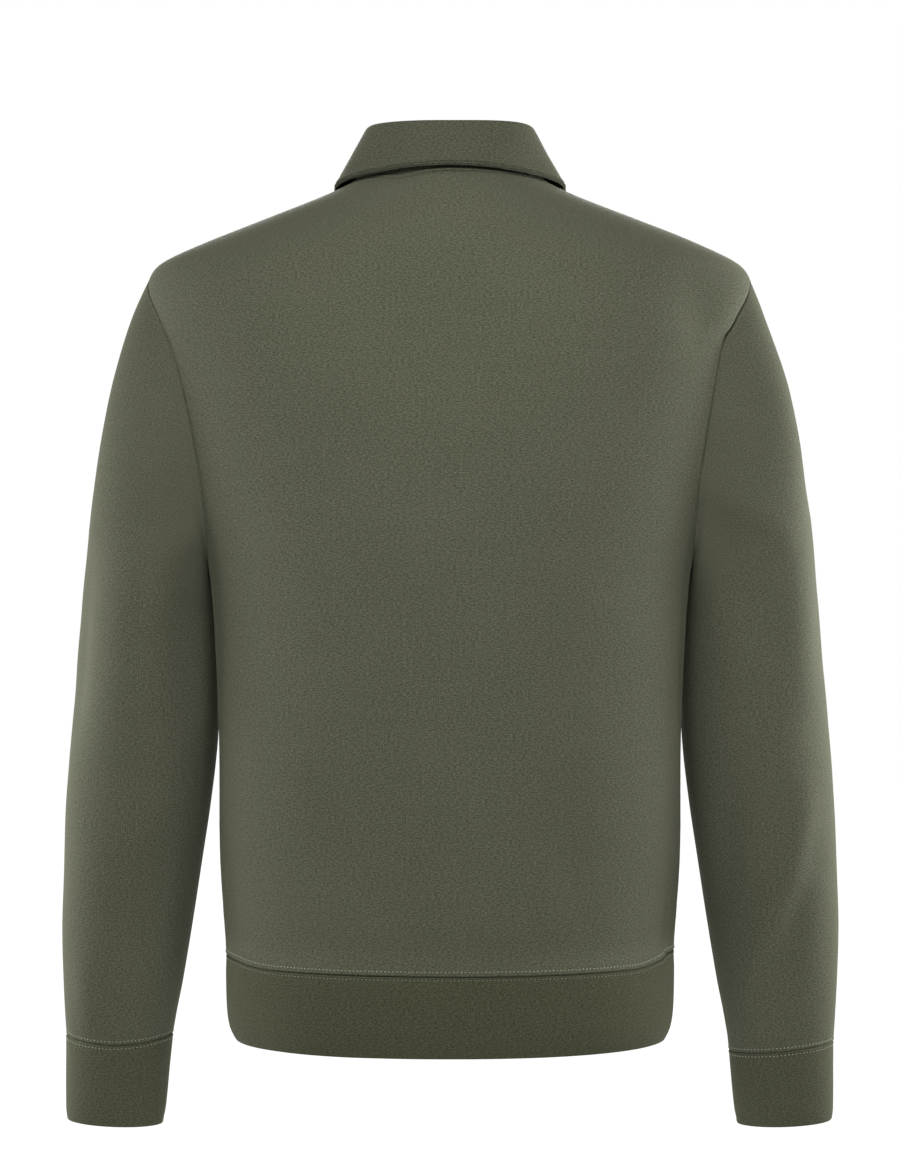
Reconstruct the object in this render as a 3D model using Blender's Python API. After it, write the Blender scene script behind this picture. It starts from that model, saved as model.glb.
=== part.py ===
"""Sweatshirt with a turned-down collar, hollow as on its wearer, each cut piece a fabric wall of its own.

Metres, +Z up. The front faces -Y and the wearer's left side is +X. The origin is the centre of the neck,
level with the high points of the shoulders, where the garment hangs on its wearer.
"""

import math
from collections import namedtuple

import bmesh
import bpy
from mathutils import Vector

# Fabric
WALL = 0.0016
FOLDED_WALL = 0.0028
COLLAR_WALL = 0.0012
SEAM_GAP = 0.0003
SIDE_SEAM_GAP = 0.0007
ARMHOLE_GAP = 0.0009

# Body sections, neck to hem seam: half the width, and the depths behind and before the side seams
BodySection = namedtuple("BodySection", "height half_width back front")
BODY = (
    BodySection(0.000, 0.0760, 0.0720, 0.0400),
    BodySection(-0.012, 0.1020, 0.0800, 0.0440),
    BodySection(-0.030, 0.1486, 0.0915, 0.0525),
    BodySection(-0.048, 0.1942, 0.1005, 0.0630),
    BodySection(-0.062, 0.2240, 0.1055, 0.0715),
    BodySection(-0.073, 0.2335, 0.1085, 0.0780),
    BodySection(-0.090, 0.2365, 0.1120, 0.0865),
    BodySection(-0.125, 0.2290, 0.1175, 0.1000),
    BodySection(-0.186, 0.2150, 0.1235, 0.1150),
    BodySection(-0.250, 0.1990, 0.1245, 0.1220),
    BodySection(-0.300, 0.1875, 0.1230, 0.1210),
    BodySection(-0.355, 0.1828, 0.1200, 0.1160),
    BodySection(-0.430, 0.1797, 0.1165, 0.1110),
    BodySection(-0.515, 0.1794, 0.1160, 0.1100),
    BodySection(-0.565, 0.1768, 0.1185, 0.1130),
    BodySection(-0.602, 0.1742, 0.1180, 0.1135),
)
BODY_SQUARENESS = 2.2
HEM_SEAM_HEIGHT = BODY[-1].height
NECK_HALF_WIDTH = BODY[0].half_width
BACK_NECK_RISE = 0.002
FRONT_NECK_DROP = 0.075

# Armhole: an upright loop on the body, from the shoulder tip down to the underarm
SHOULDER_TIP_HEIGHT = -0.073
UNDERARM_HEIGHT = -0.300
ARMHOLE_DEPTH = 0.055
ARMHOLE_CENTRE = (SHOULDER_TIP_HEIGHT + UNDERARM_HEIGHT) / 2
ARMHOLE_REACH = (SHOULDER_TIP_HEIGHT - UNDERARM_HEIGHT) / 2

# Sleeve and cuff sections: the middle's distance from the body's middle, its shift back, and the half sizes
ArmSection = namedtuple("ArmSection", "height middle shift half_width half_depth")
SLEEVE = (
    ArmSection(-0.340, 0.2375, -0.021, 0.0535, 0.0600),
    ArmSection(-0.398, 0.2393, -0.026, 0.0570, 0.0585),
    ArmSection(-0.434, 0.2414, -0.029, 0.0580, 0.0570),
    ArmSection(-0.482, 0.2461, -0.033, 0.0570, 0.0545),
    ArmSection(-0.530, 0.2509, -0.036, 0.0544, 0.0510),
    ArmSection(-0.577, 0.2555, -0.039, 0.0516, 0.0470),
    ArmSection(-0.6255, 0.2595, -0.042, 0.0473, 0.0425),
    ArmSection(-0.6495, 0.2616, -0.0435, 0.0445, 0.0395),
    ArmSection(-0.670, 0.2629, -0.045, 0.0421, 0.0365),
)
CUFF = (
    ArmSection(-0.670, 0.2629, -0.045, 0.0421, 0.0365),
    ArmSection(-0.690, 0.2640, -0.0465, 0.0411, 0.0352),
    ArmSection(-0.728, 0.2661, -0.0488, 0.0393, 0.0316),
    ArmSection(-0.737, 0.2665, -0.049, 0.0378, 0.0300),
)
SLEEVE_FALL = 67
SLEEVE_SIDE_LIFT = 30
SLEEVE_LEAVES_BODY = 0.26
SLEEVE_JOINS_ARM = 0.37
SLEEVE_CLEARANCE = 0.0015
SLEEVE_CLEARANCE_GROWTH = 0.1
SLEEVE_TANGENT_STEP = 0.01

# Hem band sections
BAND = (
    BodySection(-0.602, 0.1742, 0.1180, 0.1135),
    BodySection(-0.615, 0.1748, 0.1190, 0.1140),
    BodySection(-0.642, 0.1738, 0.1190, 0.1140),
    BodySection(-0.655, 0.1714, 0.1172, 0.1122),
    BodySection(-0.6625, 0.1675, 0.1145, 0.1095),
)

# Collar: the neck seam, the fold above it and the leaf's free edge
COLLAR_LAYER_GAP = 0.0005
COLLAR_SEAM_INSET = 0.0018
FOLD_RADIUS = 0.0045
FOLD_HEIGHT = 0.041
FOLD_HALF_WIDTH = 0.0662
FOLD_CENTRE = 0.012
FOLD_BACK = 0.0525
FOLD_FRONT = 0.0925
FOLD_FRONT_DROP = 0.093
FOLD_SQUARENESS = 3.0
LEAF_BACK = 0.0785
LEAF_BACK_HEIGHT = 0.0054
LEAF_SIDE = (0.0892, -0.0050)
LEAF_FRONT_BOW = (0.096, -0.062)
LEAF_POINT = (0.052, -0.122)
LEAF_LIFT = 0.0058
LEAF_FRONT_LIFT = 0.0080
LEAF_BULGE = 0.006
LEAF_EDGE_SWEEP = 1.5
COLLAR_END_GAP = 0.0012

# Placket at the centre front, and its buttons
PLACKET_GAP = 0.0006
SLIT_HALF_WIDTH = 0.0012
PLACKET_BOTTOM = -0.192
PLACKET_HALF_WIDTH = 0.016
UNDER_PLACKET_HALF_WIDTH = 0.014
BUTTON_HEIGHTS = (-0.102, -0.156)

# Half outline of a button, from the middle of its back round its rim to the middle of its dished face
ButtonPoint = namedtuple("ButtonPoint", "radius level")
BUTTON = (
    ButtonPoint(0.0000, 0.0000),
    ButtonPoint(0.0047, 0.0000),
    ButtonPoint(0.0055, 0.0008),
    ButtonPoint(0.0055, 0.0018),
    ButtonPoint(0.0048, 0.0026),
    ButtonPoint(0.0037, 0.0024),
    ButtonPoint(0.0030, 0.0019),
    ButtonPoint(0.0000, 0.0019),
)

# How finely the pieces are divided
PANEL_COLUMNS = 18
FRONT_COLUMN_CROWDING = 1.4
HEM_TO_UNDERARM_ROWS = 7
ARMHOLE_STEPS = 10
SHOULDER_ROWS = 4
SLEEVE_HEAD_ROWS = 7
COLLAR_STATIONS = 14
FOLD_STATIONS = (0.25, 0.5, 0.75, 1.0)
FOLD_TANGENT_STEP = 0.01
LEAF_STATIONS = (0.33, 0.67, 1.0)
PLACKET_COLUMNS = 4
PLACKET_ROWS = 7
BAND_STATIONS = 36
BUTTON_STATIONS = 12
NECKLINE_HALVINGS = 40
NORMAL_STEP = 0.0005
SHARP_ANGLE = 50
WELD = 1e-6

# Colours
OLIVE = (0.105, 0.108, 0.075, 1.0)
OLIVE_DEEP = (0.090, 0.092, 0.064, 1.0)
BUTTON_OLIVE = (0.060, 0.058, 0.040, 1.0)


def clear_scene():
    for obj in list(bpy.data.objects):
        bpy.data.objects.remove(obj)


def material(name, colour, roughness):
    made = bpy.data.materials.new(name)
    made.use_nodes = True
    shader = made.node_tree.nodes["Principled BSDF"]
    shader.inputs["Base Color"].default_value = colour
    shader.inputs["Roughness"].default_value = roughness
    shader.inputs["Metallic"].default_value = 0.0
    return made


def section_value(table, column, height):
    """A smooth curve through one column of a table whose rows run from top to bottom."""
    rows = [(row.height, getattr(row, column)) for row in table]
    height = min(max(height, rows[-1][0]), rows[0][0])
    index = next((i for i in range(len(rows) - 2) if height > rows[i + 1][0]), len(rows) - 2)

    def slope(i):
        above = rows[max(i - 1, 0)]
        below = rows[min(i + 1, len(rows) - 1)]
        return (above[1] - below[1]) / (above[0] - below[0])

    (start, first), (end, last) = rows[index], rows[index + 1]
    span = end - start
    t = (height - start) / span
    return (
        first * (1 + 2 * t) * (1 - t) ** 2
        + last * t * t * (3 - 2 * t)
        + slope(index) * span * t * (1 - t) ** 2
        - slope(index + 1) * span * t * t * (1 - t)
    )


def power_sine(angle, squareness):
    """Sine raised to a power, so that an oval made with it is squarer than an ellipse."""
    return math.copysign(abs(math.sin(angle)) ** (2 / squareness), math.sin(angle))


def power_cosine(angle, squareness):
    return math.copysign(abs(math.cos(angle)) ** (2 / squareness), math.cos(angle))


def body_depth(x, height, side):
    """How far the body's surface stands behind (back) or before (front) the side seams, at x."""
    half_width = section_value(BODY, "half_width", height)
    reach = min(abs(x) / half_width, 1.0)
    return section_value(BODY, side, height) * (1 - reach**BODY_SQUARENESS) ** (1 / BODY_SQUARENESS)


def body_half_width(y, height):
    """How far the body's surface stands from its middle, at depth y."""
    depth = section_value(BODY, "back" if y > 0 else "front", height)
    reach = min(abs(y) / depth, 1.0)
    half_width = section_value(BODY, "half_width", height)
    return half_width * (1 - reach**BODY_SQUARENESS) ** (1 / BODY_SQUARENESS)


def on_body(x, height, side, lift):
    """A point of the body's surface, moved out square to it."""
    depth = body_depth(x, height, side)

    def shape(across, deep, level):
        half_width = section_value(BODY, "half_width", level)
        reach = section_value(BODY, side, level)
        return (abs(across) / half_width) ** BODY_SQUARENESS + (abs(deep) / reach) ** BODY_SQUARENESS

    step = NORMAL_STEP
    normal = Vector(
        (
            shape(x + step, depth, height) - shape(x - step, depth, height),
            shape(x, depth + step, height) - shape(x, depth - step, height),
            shape(x, depth, height + step) - shape(x, depth, height - step),
        )
    ).normalized()
    point = Vector((x, depth, height)) + normal * lift
    return Vector((point.x, point.y if side == "back" else -point.y, point.z))


def neckline_height(x):
    """Height of the front neckline, a half ellipse between the high points of the shoulders."""
    return -FRONT_NECK_DROP * math.sqrt(max(1 - (x / NECK_HALF_WIDTH) ** 2, 0.0))


def edge_depth(height):
    """How far a panel's side edge stands from the side seam's line: a half gap, or the armhole's reach."""
    from_centre = (height - ARMHOLE_CENTRE) / ARMHOLE_REACH
    if abs(from_centre) >= 1:
        return SIDE_SEAM_GAP / 2
    return max(ARMHOLE_DEPTH * math.sqrt(1 - from_centre**2), SIDE_SEAM_GAP / 2)


def edge_angle(height, side):
    """Angle round the body, from its middle, at which a panel's side edge lies."""
    reach = edge_depth(height) / section_value(BODY, side, height)
    return math.acos(reach ** (BODY_SQUARENESS / 2))


def front_column_top(across):
    """Height at which a column of the front, a given fraction of the way across, meets the neckline."""
    spread = power_sine(abs(across) * math.pi / 2, BODY_SQUARENESS)
    low = -FRONT_NECK_DROP
    high = 0.0
    for _ in range(NECKLINE_HALVINGS):
        middle = (low + high) / 2
        if spread * section_value(BODY, "half_width", middle) > math.sqrt(
            max(1 - (middle / FRONT_NECK_DROP) ** 2, 0.0)
        ) * NECK_HALF_WIDTH:
            low = middle
        else:
            high = middle
    return high


def panel_point(side, across, row_height):
    """Point of a panel, a fraction of the way across it, on the row that meets its side edge at a height."""
    full_turn = math.pi / 2
    angle = abs(across) * full_turn - (full_turn - edge_angle(row_height, side)) * across**2
    if side == "back":
        raised = max(1 - row_height / SHOULDER_TIP_HEIGHT, 0.0)
        height = row_height + BACK_NECK_RISE * math.cos(angle) ** 2 * raised
    else:
        lowered = max(1 - row_height / UNDERARM_HEIGHT, 0.0)
        height = row_height + front_column_top(across) * lowered
    half_width = section_value(BODY, "half_width", height)
    depth = section_value(BODY, side, height)
    x = math.copysign(half_width * power_sine(angle, BODY_SQUARENESS), across)
    y = depth * power_cosine(angle, BODY_SQUARENESS)
    return Vector((x, y if side == "back" else -y, height))


def panel_row_heights():
    """Heights at the side edge: hem seam to underarm, round the armhole, then along the shoulder seam."""
    bottom = HEM_SEAM_HEIGHT + SEAM_GAP / 2
    heights = [
        bottom + (UNDERARM_HEIGHT - bottom) * step / HEM_TO_UNDERARM_ROWS
        for step in range(HEM_TO_UNDERARM_ROWS)
    ]
    for step in range(ARMHOLE_STEPS + 1):
        angle = math.pi * (1 - step / ARMHOLE_STEPS)
        heights.append(ARMHOLE_CENTRE + ARMHOLE_REACH * math.cos(angle))
    for step in range(1, SHOULDER_ROWS + 1):
        heights.append(SHOULDER_TIP_HEIGHT * (1 - step / SHOULDER_ROWS))
    return heights


def add_object(name, bm, finish_material):
    mesh = bpy.data.meshes.new(name)
    bm.to_mesh(mesh)
    bm.free()
    mesh.shade_smooth()
    mesh.set_sharp_from_angle(angle=math.radians(SHARP_ANGLE))
    mesh.materials.append(finish_material)
    obj = bpy.data.objects.new(name, mesh)
    bpy.context.scene.collection.objects.link(obj)


def surface(rows, closed=False, is_open=None):
    """Triangles between rows of points, split across the shorter diagonal.

    Rows run upwards and each row runs anticlockwise, seen from above.
    """
    bm = bmesh.new()
    grid = [[bm.verts.new(point) for point in row] for row in rows]
    for level, (lower, upper) in enumerate(zip(grid, grid[1:])):
        for i in range(len(lower) if closed else len(lower) - 1):
            if is_open and is_open(level, i):
                continue
            after = (i + 1) % len(lower)
            if (lower[i].co - upper[after].co).length < (lower[after].co - upper[i].co).length:
                bm.faces.new((lower[i], lower[after], upper[after]))
                bm.faces.new((lower[i], upper[after], upper[i]))
            else:
                bm.faces.new((lower[i], lower[after], upper[i]))
                bm.faces.new((lower[after], upper[after], upper[i]))
    bm.normal_update()
    return bm


def seam_normal(vert):
    """The surface's normal, kept level with the side seam's plane where the edge lies on it."""
    if abs(vert.co.y) > SIDE_SEAM_GAP:
        return vert.normal
    return Vector((vert.normal.x, 0, vert.normal.z)).normalized()


def fabric(
    name, rows, wall, finish_material, depth=0.0, closed=False, is_open=None, has_side_seams=False
):
    """An object of one fabric wall: its outer face lies a depth inside the rows' surface."""
    bm = surface(rows, closed, is_open)
    faces = list(bm.faces)
    edges = [edge for edge in bm.edges if edge.is_boundary]
    inside = {}
    for vert in list(bm.verts):
        normal = seam_normal(vert) if has_side_seams else vert.normal.copy()
        inside[vert] = bm.verts.new(vert.co - normal * (depth + wall))
        vert.co -= normal * depth
    for face in faces:
        bm.faces.new([inside[vert] for vert in reversed(face.verts)])
    for edge in edges:
        loop = edge.link_loops[0]
        near, far = loop.vert, loop.link_loop_next.vert
        bm.faces.new((far, near, inside[near], inside[far]))
    add_object(name, bm, finish_material)


def mirrored(rows):
    """The other side's rows, each turned round so that it still runs anticlockwise."""
    return [[Vector((-point.x, point.y, point.z)) for point in reversed(row)] for row in rows]


def build_back(cloth):
    fractions = [1 - 2 * step / PANEL_COLUMNS for step in range(PANEL_COLUMNS + 1)]
    rows = [[panel_point("back", across, height) for across in fractions] for height in panel_row_heights()]
    fabric("back", rows, WALL, cloth, has_side_seams=True)


def build_front(cloth):
    """The front panel, slit under the placket, with closer columns where the neckline is steep."""
    slit = (SLIT_HALF_WIDTH / section_value(BODY, "half_width", -FRONT_NECK_DROP)) ** (BODY_SQUARENESS / 2)
    slit_fraction = slit / (math.pi / 2)
    half = PANEL_COLUMNS // 2
    left = [(step / half) ** FRONT_COLUMN_CROWDING for step in range(1, half + 1)]
    fractions = [-across for across in reversed(left)] + [-slit_fraction, slit_fraction] + left
    heights = panel_row_heights()
    rows = [[panel_point("front", across, height) for across in fractions] for height in heights]

    def in_slit(level, column):
        return column == half and rows[level][column].z > PLACKET_BOTTOM + FOLDED_WALL

    fabric("front", rows, WALL, cloth, is_open=in_slit, has_side_seams=True)


def armhole_point(angle):
    """Point of the left armhole, at an angle from its top, first towards the back."""
    height = ARMHOLE_CENTRE + ARMHOLE_REACH * math.cos(angle)
    y = ARMHOLE_DEPTH * math.sin(angle)
    return Vector((body_half_width(y, height), y, height))


def arm_point(table, angle, height):
    """Point of the left sleeve or cuff, at an angle from its outer side, first towards the back."""
    x = section_value(table, "middle", height) + section_value(table, "half_width", height) * math.cos(angle)
    y = section_value(table, "shift", height) + section_value(table, "half_depth", height) * math.sin(angle)
    return Vector((x, y, height))


def clear_of_body(point):
    """Moves a sleeve point outwards where it would lie in the body's side."""
    below = UNDERARM_HEIGHT - point.z
    if below <= 0:
        return point
    clearance = SEAM_GAP + min(below * SLEEVE_CLEARANCE_GROWTH, SLEEVE_CLEARANCE)
    return Vector((max(point.x, body_half_width(point.y, point.z) + clearance), point.y, point.z))


def sleeve_head_point(angle, t):
    """A strand from the armhole to the upper arm, at t from 0 to 1."""
    fall = math.radians(SLEEVE_FALL - SLEEVE_SIDE_LIFT * math.sin(angle) ** 2)
    outwards = Vector((math.cos(fall), 0, -math.sin(fall)))
    start = armhole_point(angle) + ARMHOLE_GAP * outwards
    top = SLEEVE[0].height
    end = clear_of_body(arm_point(SLEEVE, angle, top))
    below = clear_of_body(arm_point(SLEEVE, angle, top - SLEEVE_TANGENT_STEP))
    downwards = (below - end).normalized()
    length = (end - start).length
    first = start + outwards * length * SLEEVE_LEAVES_BODY
    second = end - downwards * length * SLEEVE_JOINS_ARM
    point = (1 - t) ** 3 * start + 3 * t * (1 - t) ** 2 * first + 3 * t * t * (1 - t) * second + t**3 * end
    return clear_of_body(point)


def around(count):
    return [2 * math.pi * step / count for step in range(count)]


def build_sleeves(cloth):
    angles = around(2 * ARMHOLE_STEPS)
    head = [
        [sleeve_head_point(angle, step / SLEEVE_HEAD_ROWS) for angle in angles]
        for step in range(SLEEVE_HEAD_ROWS + 1)
    ]
    heights = [row.height for row in SLEEVE[1:-1]] + [SLEEVE[-1].height + SEAM_GAP / 2]
    arm = [[clear_of_body(arm_point(SLEEVE, angle, height)) for angle in angles] for height in heights]
    rows = (head + arm)[::-1]
    fabric("sleeve_left", rows, WALL, cloth, closed=True)
    fabric("sleeve_right", mirrored(rows), WALL, cloth, closed=True)


def build_cuffs(cloth):
    heights = [CUFF[0].height - SEAM_GAP / 2] + [row.height for row in CUFF[1:]]
    angles = list(around(2 * ARMHOLE_STEPS))
    rows = [[arm_point(CUFF, angle, height) for angle in angles] for height in reversed(heights)]
    fabric("cuff_left", rows, FOLDED_WALL, cloth, closed=True)
    fabric("cuff_right", mirrored(rows), FOLDED_WALL, cloth, closed=True)


def build_hem_band(cloth):
    heights = [BAND[0].height - SEAM_GAP / 2] + [row.height for row in BAND[1:]]
    rows = []
    for height in reversed(heights):
        half_width = section_value(BAND, "half_width", height)
        row = []
        for angle in around(BAND_STATIONS):
            y = power_sine(angle, BODY_SQUARENESS)
            depth = section_value(BAND, "back" if y > 0 else "front", height)
            row.append(Vector((half_width * power_cosine(angle, BODY_SQUARENESS), y * depth, height)))
        rows.append(row)
    fabric("hem_band", rows, FOLDED_WALL, cloth, closed=True)


def neck_seam_point(angle):
    """Point of the left half of the neck seam, at an angle from the centre back."""
    x = NECK_HALF_WIDTH * math.sin(angle)
    if math.cos(angle) > 0:
        return Vector((x, body_depth(x, 0, "back"), BACK_NECK_RISE * math.cos(angle) ** 2))
    height = -FRONT_NECK_DROP * abs(math.cos(angle))
    return Vector((x, -body_depth(x, height, "front"), height))


def fold_point(angle):
    """Outer side of the collar's fold, half its thickness below the top."""
    behind = math.cos(angle) > 0
    reach = FOLD_BACK if behind else FOLD_FRONT
    height = FOLD_HEIGHT - FOLD_RADIUS
    if not behind:
        height -= FOLD_FRONT_DROP * abs(math.cos(angle))
    x = FOLD_HALF_WIDTH * power_sine(angle, FOLD_SQUARENESS)
    return Vector((x, FOLD_CENTRE + reach * power_cosine(angle, FOLD_SQUARENESS), height))


def leaf_point(angle):
    """Free edge of the leaf: an oval behind the neck, and a bow down to the collar point on the chest."""
    t = max(angle / (math.pi / 2) - 1, 0.0)
    x, height = (
        (1 - t) ** 2 * side + 2 * t * (1 - t) * bow + t * t * tip
        for side, bow, tip in zip(LEAF_SIDE, LEAF_FRONT_BOW, LEAF_POINT)
    )
    point = on_body(x, height, "front", LEAF_LIFT + LEAF_FRONT_LIFT * math.sqrt(t))
    if t > 0:
        return point
    fall = (LEAF_BACK_HEIGHT - point.z) * math.sin(angle) ** LEAF_EDGE_SWEEP
    return Vector((point.x * math.sin(angle), LEAF_BACK * math.cos(angle), LEAF_BACK_HEIGHT - fall))


def collar_profile(angle):
    """The collar's cross-section at an angle from the centre back: stand, fold, then leaf."""
    before = max(angle - FOLD_TANGENT_STEP, 0)
    along = fold_point(min(angle + FOLD_TANGENT_STEP, math.pi)) - fold_point(before)
    outward = Vector((-along.y, along.x, 0)).normalized()
    outer = fold_point(angle)
    if angle == 0:
        outward = Vector((0, 1, 0))
    if angle == math.pi:
        outward = Vector((0, -1, 0))
    centre = outer - FOLD_RADIUS * outward
    inner = centre - FOLD_RADIUS * outward
    seam = neck_seam_point(angle)
    inset = COLLAR_SEAM_INSET + 2 * COLLAR_WALL + COLLAR_LAYER_GAP
    base = seam - inset * outward + Vector((0, 0, SEAM_GAP))
    stand = [base, inner]
    edge = leaf_point(angle)
    chord = edge - centre
    whole_turn = math.pi - math.atan2(chord.z, chord.dot(outward)) - math.acos(FOLD_RADIUS / chord.length)
    fold = [
        centre + FOLD_RADIUS * (math.sin(turn) * Vector((0, 0, 1)) - math.cos(turn) * outward)
        for turn in (whole_turn * share for share in FOLD_STATIONS)
    ]
    push = outward * LEAF_BULGE * max(-math.cos(angle), 0.0)
    leaf = [fold[-1].lerp(edge, t) + 3 * t * (1 - t) * push for t in LEAF_STATIONS]
    return stand + fold + leaf


def build_collar(cloth):
    """Two layers, one inside the other, from one end at the centre front round the back to the other."""
    end = math.pi - COLLAR_END_GAP / FOLD_HALF_WIDTH
    columns = []
    for step in range(2 * COLLAR_STATIONS + 1):
        angle = end * (step / COLLAR_STATIONS - 1)
        profile = collar_profile(abs(angle))
        if angle < 0:
            profile = [Vector((-point.x, point.y, point.z)) for point in profile]
        columns.append(profile)
    rows = list(zip(*columns))
    fabric("collar_upper", rows, COLLAR_WALL, cloth)
    fabric("collar_under", rows, COLLAR_WALL, cloth, depth=COLLAR_WALL + COLLAR_LAYER_GAP)


def placket_rows(half_width, lift, bottom):
    """Rows of points up a strip at the centre front, from its foot to the neckline."""
    rows = []
    for step in range(PLACKET_ROWS + 1):
        row = []
        for place in range(PLACKET_COLUMNS + 1):
            x = half_width * (2 * place / PLACKET_COLUMNS - 1)
            top = neckline_height(x) - 2 * SEAM_GAP
            height = bottom + (top - bottom) * step / PLACKET_ROWS
            row.append(on_body(x, height, "front", lift))
        rows.append(row)
    return rows


def build_placket(cloth):
    lift = WALL + PLACKET_GAP
    upper = placket_rows(PLACKET_HALF_WIDTH, lift, PLACKET_BOTTOM)
    under = placket_rows(UNDER_PLACKET_HALF_WIDTH, -lift, PLACKET_BOTTOM + SEAM_GAP)
    fabric("placket_upper", upper, WALL, cloth)
    fabric("placket_under", under, WALL, cloth)


def build_buttons(plastic):
    """Turned discs with a dished face, each square to the placket."""
    for number, height in enumerate(BUTTON_HEIGHTS, 1):
        bm = bmesh.new()
        points = [bm.verts.new((point.radius, 0, point.level)) for point in BUTTON]
        edges = [bm.edges.new(pair) for pair in zip(points, points[1:])]
        bmesh.ops.spin(
            bm,
            geom=points + edges,
            cent=(0, 0, 0),
            axis=(0, 0, 1),
            angle=2 * math.pi,
            steps=BUTTON_STATIONS,
            use_merge=True,
        )
        bmesh.ops.remove_doubles(bm, verts=bm.verts, dist=WELD)
        bmesh.ops.recalc_face_normals(bm, faces=bm.faces)
        on_placket = on_body(0, height, "front", WALL + PLACKET_GAP + SEAM_GAP)
        normal = (on_placket - on_body(0, height, "front", 0)).normalized()
        turn = normal.to_track_quat("Z", "Y").to_matrix()
        bmesh.ops.rotate(bm, verts=bm.verts, cent=(0, 0, 0), matrix=turn)
        bmesh.ops.translate(bm, verts=bm.verts, vec=on_placket)
        add_object(f"button_{number}", bm, plastic)


clear_scene()
body_cloth = material("sweatshirt_fleece", OLIVE, 0.95)
rib_cloth = material("band_cloth", OLIVE_DEEP, 0.95)
button_plastic = material("button_plastic", BUTTON_OLIVE, 0.45)
build_back(body_cloth)
build_front(body_cloth)
build_sleeves(body_cloth)
build_cuffs(rib_cloth)
build_hem_band(rib_cloth)
build_collar(body_cloth)
build_placket(body_cloth)
build_buttons(button_plastic)
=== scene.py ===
import functools
from collections import namedtuple
from math import acos, atan2, copysign, cos, exp, pi, radians, sin, sqrt

import bmesh
import bpy
from mathutils import Matrix, Vector, noise


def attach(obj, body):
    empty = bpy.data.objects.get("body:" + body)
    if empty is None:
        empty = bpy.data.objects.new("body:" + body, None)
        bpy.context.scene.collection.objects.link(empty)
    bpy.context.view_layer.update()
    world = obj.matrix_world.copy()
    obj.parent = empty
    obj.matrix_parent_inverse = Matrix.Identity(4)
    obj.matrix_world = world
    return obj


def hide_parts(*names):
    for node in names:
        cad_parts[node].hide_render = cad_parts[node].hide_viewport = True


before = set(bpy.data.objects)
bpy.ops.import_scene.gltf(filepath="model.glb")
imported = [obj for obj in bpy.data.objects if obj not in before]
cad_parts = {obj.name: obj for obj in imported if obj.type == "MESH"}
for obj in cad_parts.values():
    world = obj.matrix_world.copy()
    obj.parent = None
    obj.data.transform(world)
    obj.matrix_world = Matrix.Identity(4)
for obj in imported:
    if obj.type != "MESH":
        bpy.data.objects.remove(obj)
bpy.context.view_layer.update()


# --------------------------------------
# Studio: the sweatshirt keeps its worn form with nobody in it, at shoulder height over a pale floor, in soft white
# light from all round, with a softbox behind it and another before it, a tall strip on either side and small
# boxes close to its arms.

CAMERA_PLACE = (0.0, 2.25, -0.314)
CAMERA_TURN = (radians(90), 0.0, radians(180))
CAMERA_LENS = 88.3
SENSOR_WIDTH = 36.0
FLOOR_HEIGHT = -1.45
FLOOR_HALF_SIZE = 14.0
FLOOR_WHITE = (0.93, 0.93, 0.925, 1.0)
FLOOR_SHADE = (0.91, 0.91, 0.905, 1.0)
FLOOR_GLOW = 0.12
FLOOR_MOTTLE = 3.0
SURROUND_WHITE = (1.0, 1.0, 1.0, 1.0)
SURROUND_STRENGTH = 1.0

Softbox = namedtuple("Softbox", "name place aim width height power")


def table(kind, *rows):
    """Rows of a table whose columns have a kind's names."""
    return [kind(*row) for row in rows]


SOFTBOXES = table(
    Softbox,
    ("softbox_behind", (0.0, 1.37, 0.50), (0.0, 0.08, -0.15), 1.1, 0.4, 58.0),
    ("softbox_before", (0.0, -1.37, 0.50), (0.0, -0.08, -0.15), 1.1, 0.4, 48.0),
    ("strip_left", (1.3, -0.50, -0.40), (0.28, 0.0, -0.42), 0.4, 0.8, 23.5),
    ("strip_right", (-1.3, -0.50, -0.29), (-0.28, 0.0, -0.35), 0.4, 0.9, 18.0),
    ("spot_left", (0.85, -0.06, -0.40), (0.30, 0.0, -0.40), 0.25, 0.3, 9.0),
    ("spot_right", (-0.85, -0.06, -0.40), (-0.30, 0.0, -0.40), 0.25, 0.3, 8.0),
    ("spot_shoulder", (-0.85, -0.20, -0.12), (-0.25, 0.0, -0.12), 0.25, 0.3, 12.0),
)


class Value:
    """An output of a finish's nodes: arithmetic on it adds the Math nodes that work it out."""

    def __init__(self, finish, socket):
        self.finish = finish
        self.socket = socket

    def maths(self, operation, *terms):
        return self.finish.add("ShaderNodeMath", {"operation": operation}, dict(enumerate(terms)))["Value"]

    def __add__(self, other):
        return self.maths("ADD", self, other)

    def __radd__(self, other):
        return self.maths("ADD", other, self)

    def __sub__(self, other):
        return self.maths("SUBTRACT", self, other)

    def __rsub__(self, other):
        return self.maths("SUBTRACT", other, self)

    def __mul__(self, other):
        return self.maths("MULTIPLY", self, other)

    def __rmul__(self, other):
        return self.maths("MULTIPLY", other, self)

    def __mod__(self, other):
        return self.maths("FLOORED_MODULO", self, other)

    def __pow__(self, other):
        return self.maths("POWER", self, other)

    def __abs__(self):
        return self.maths("ABSOLUTE", self)


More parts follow.
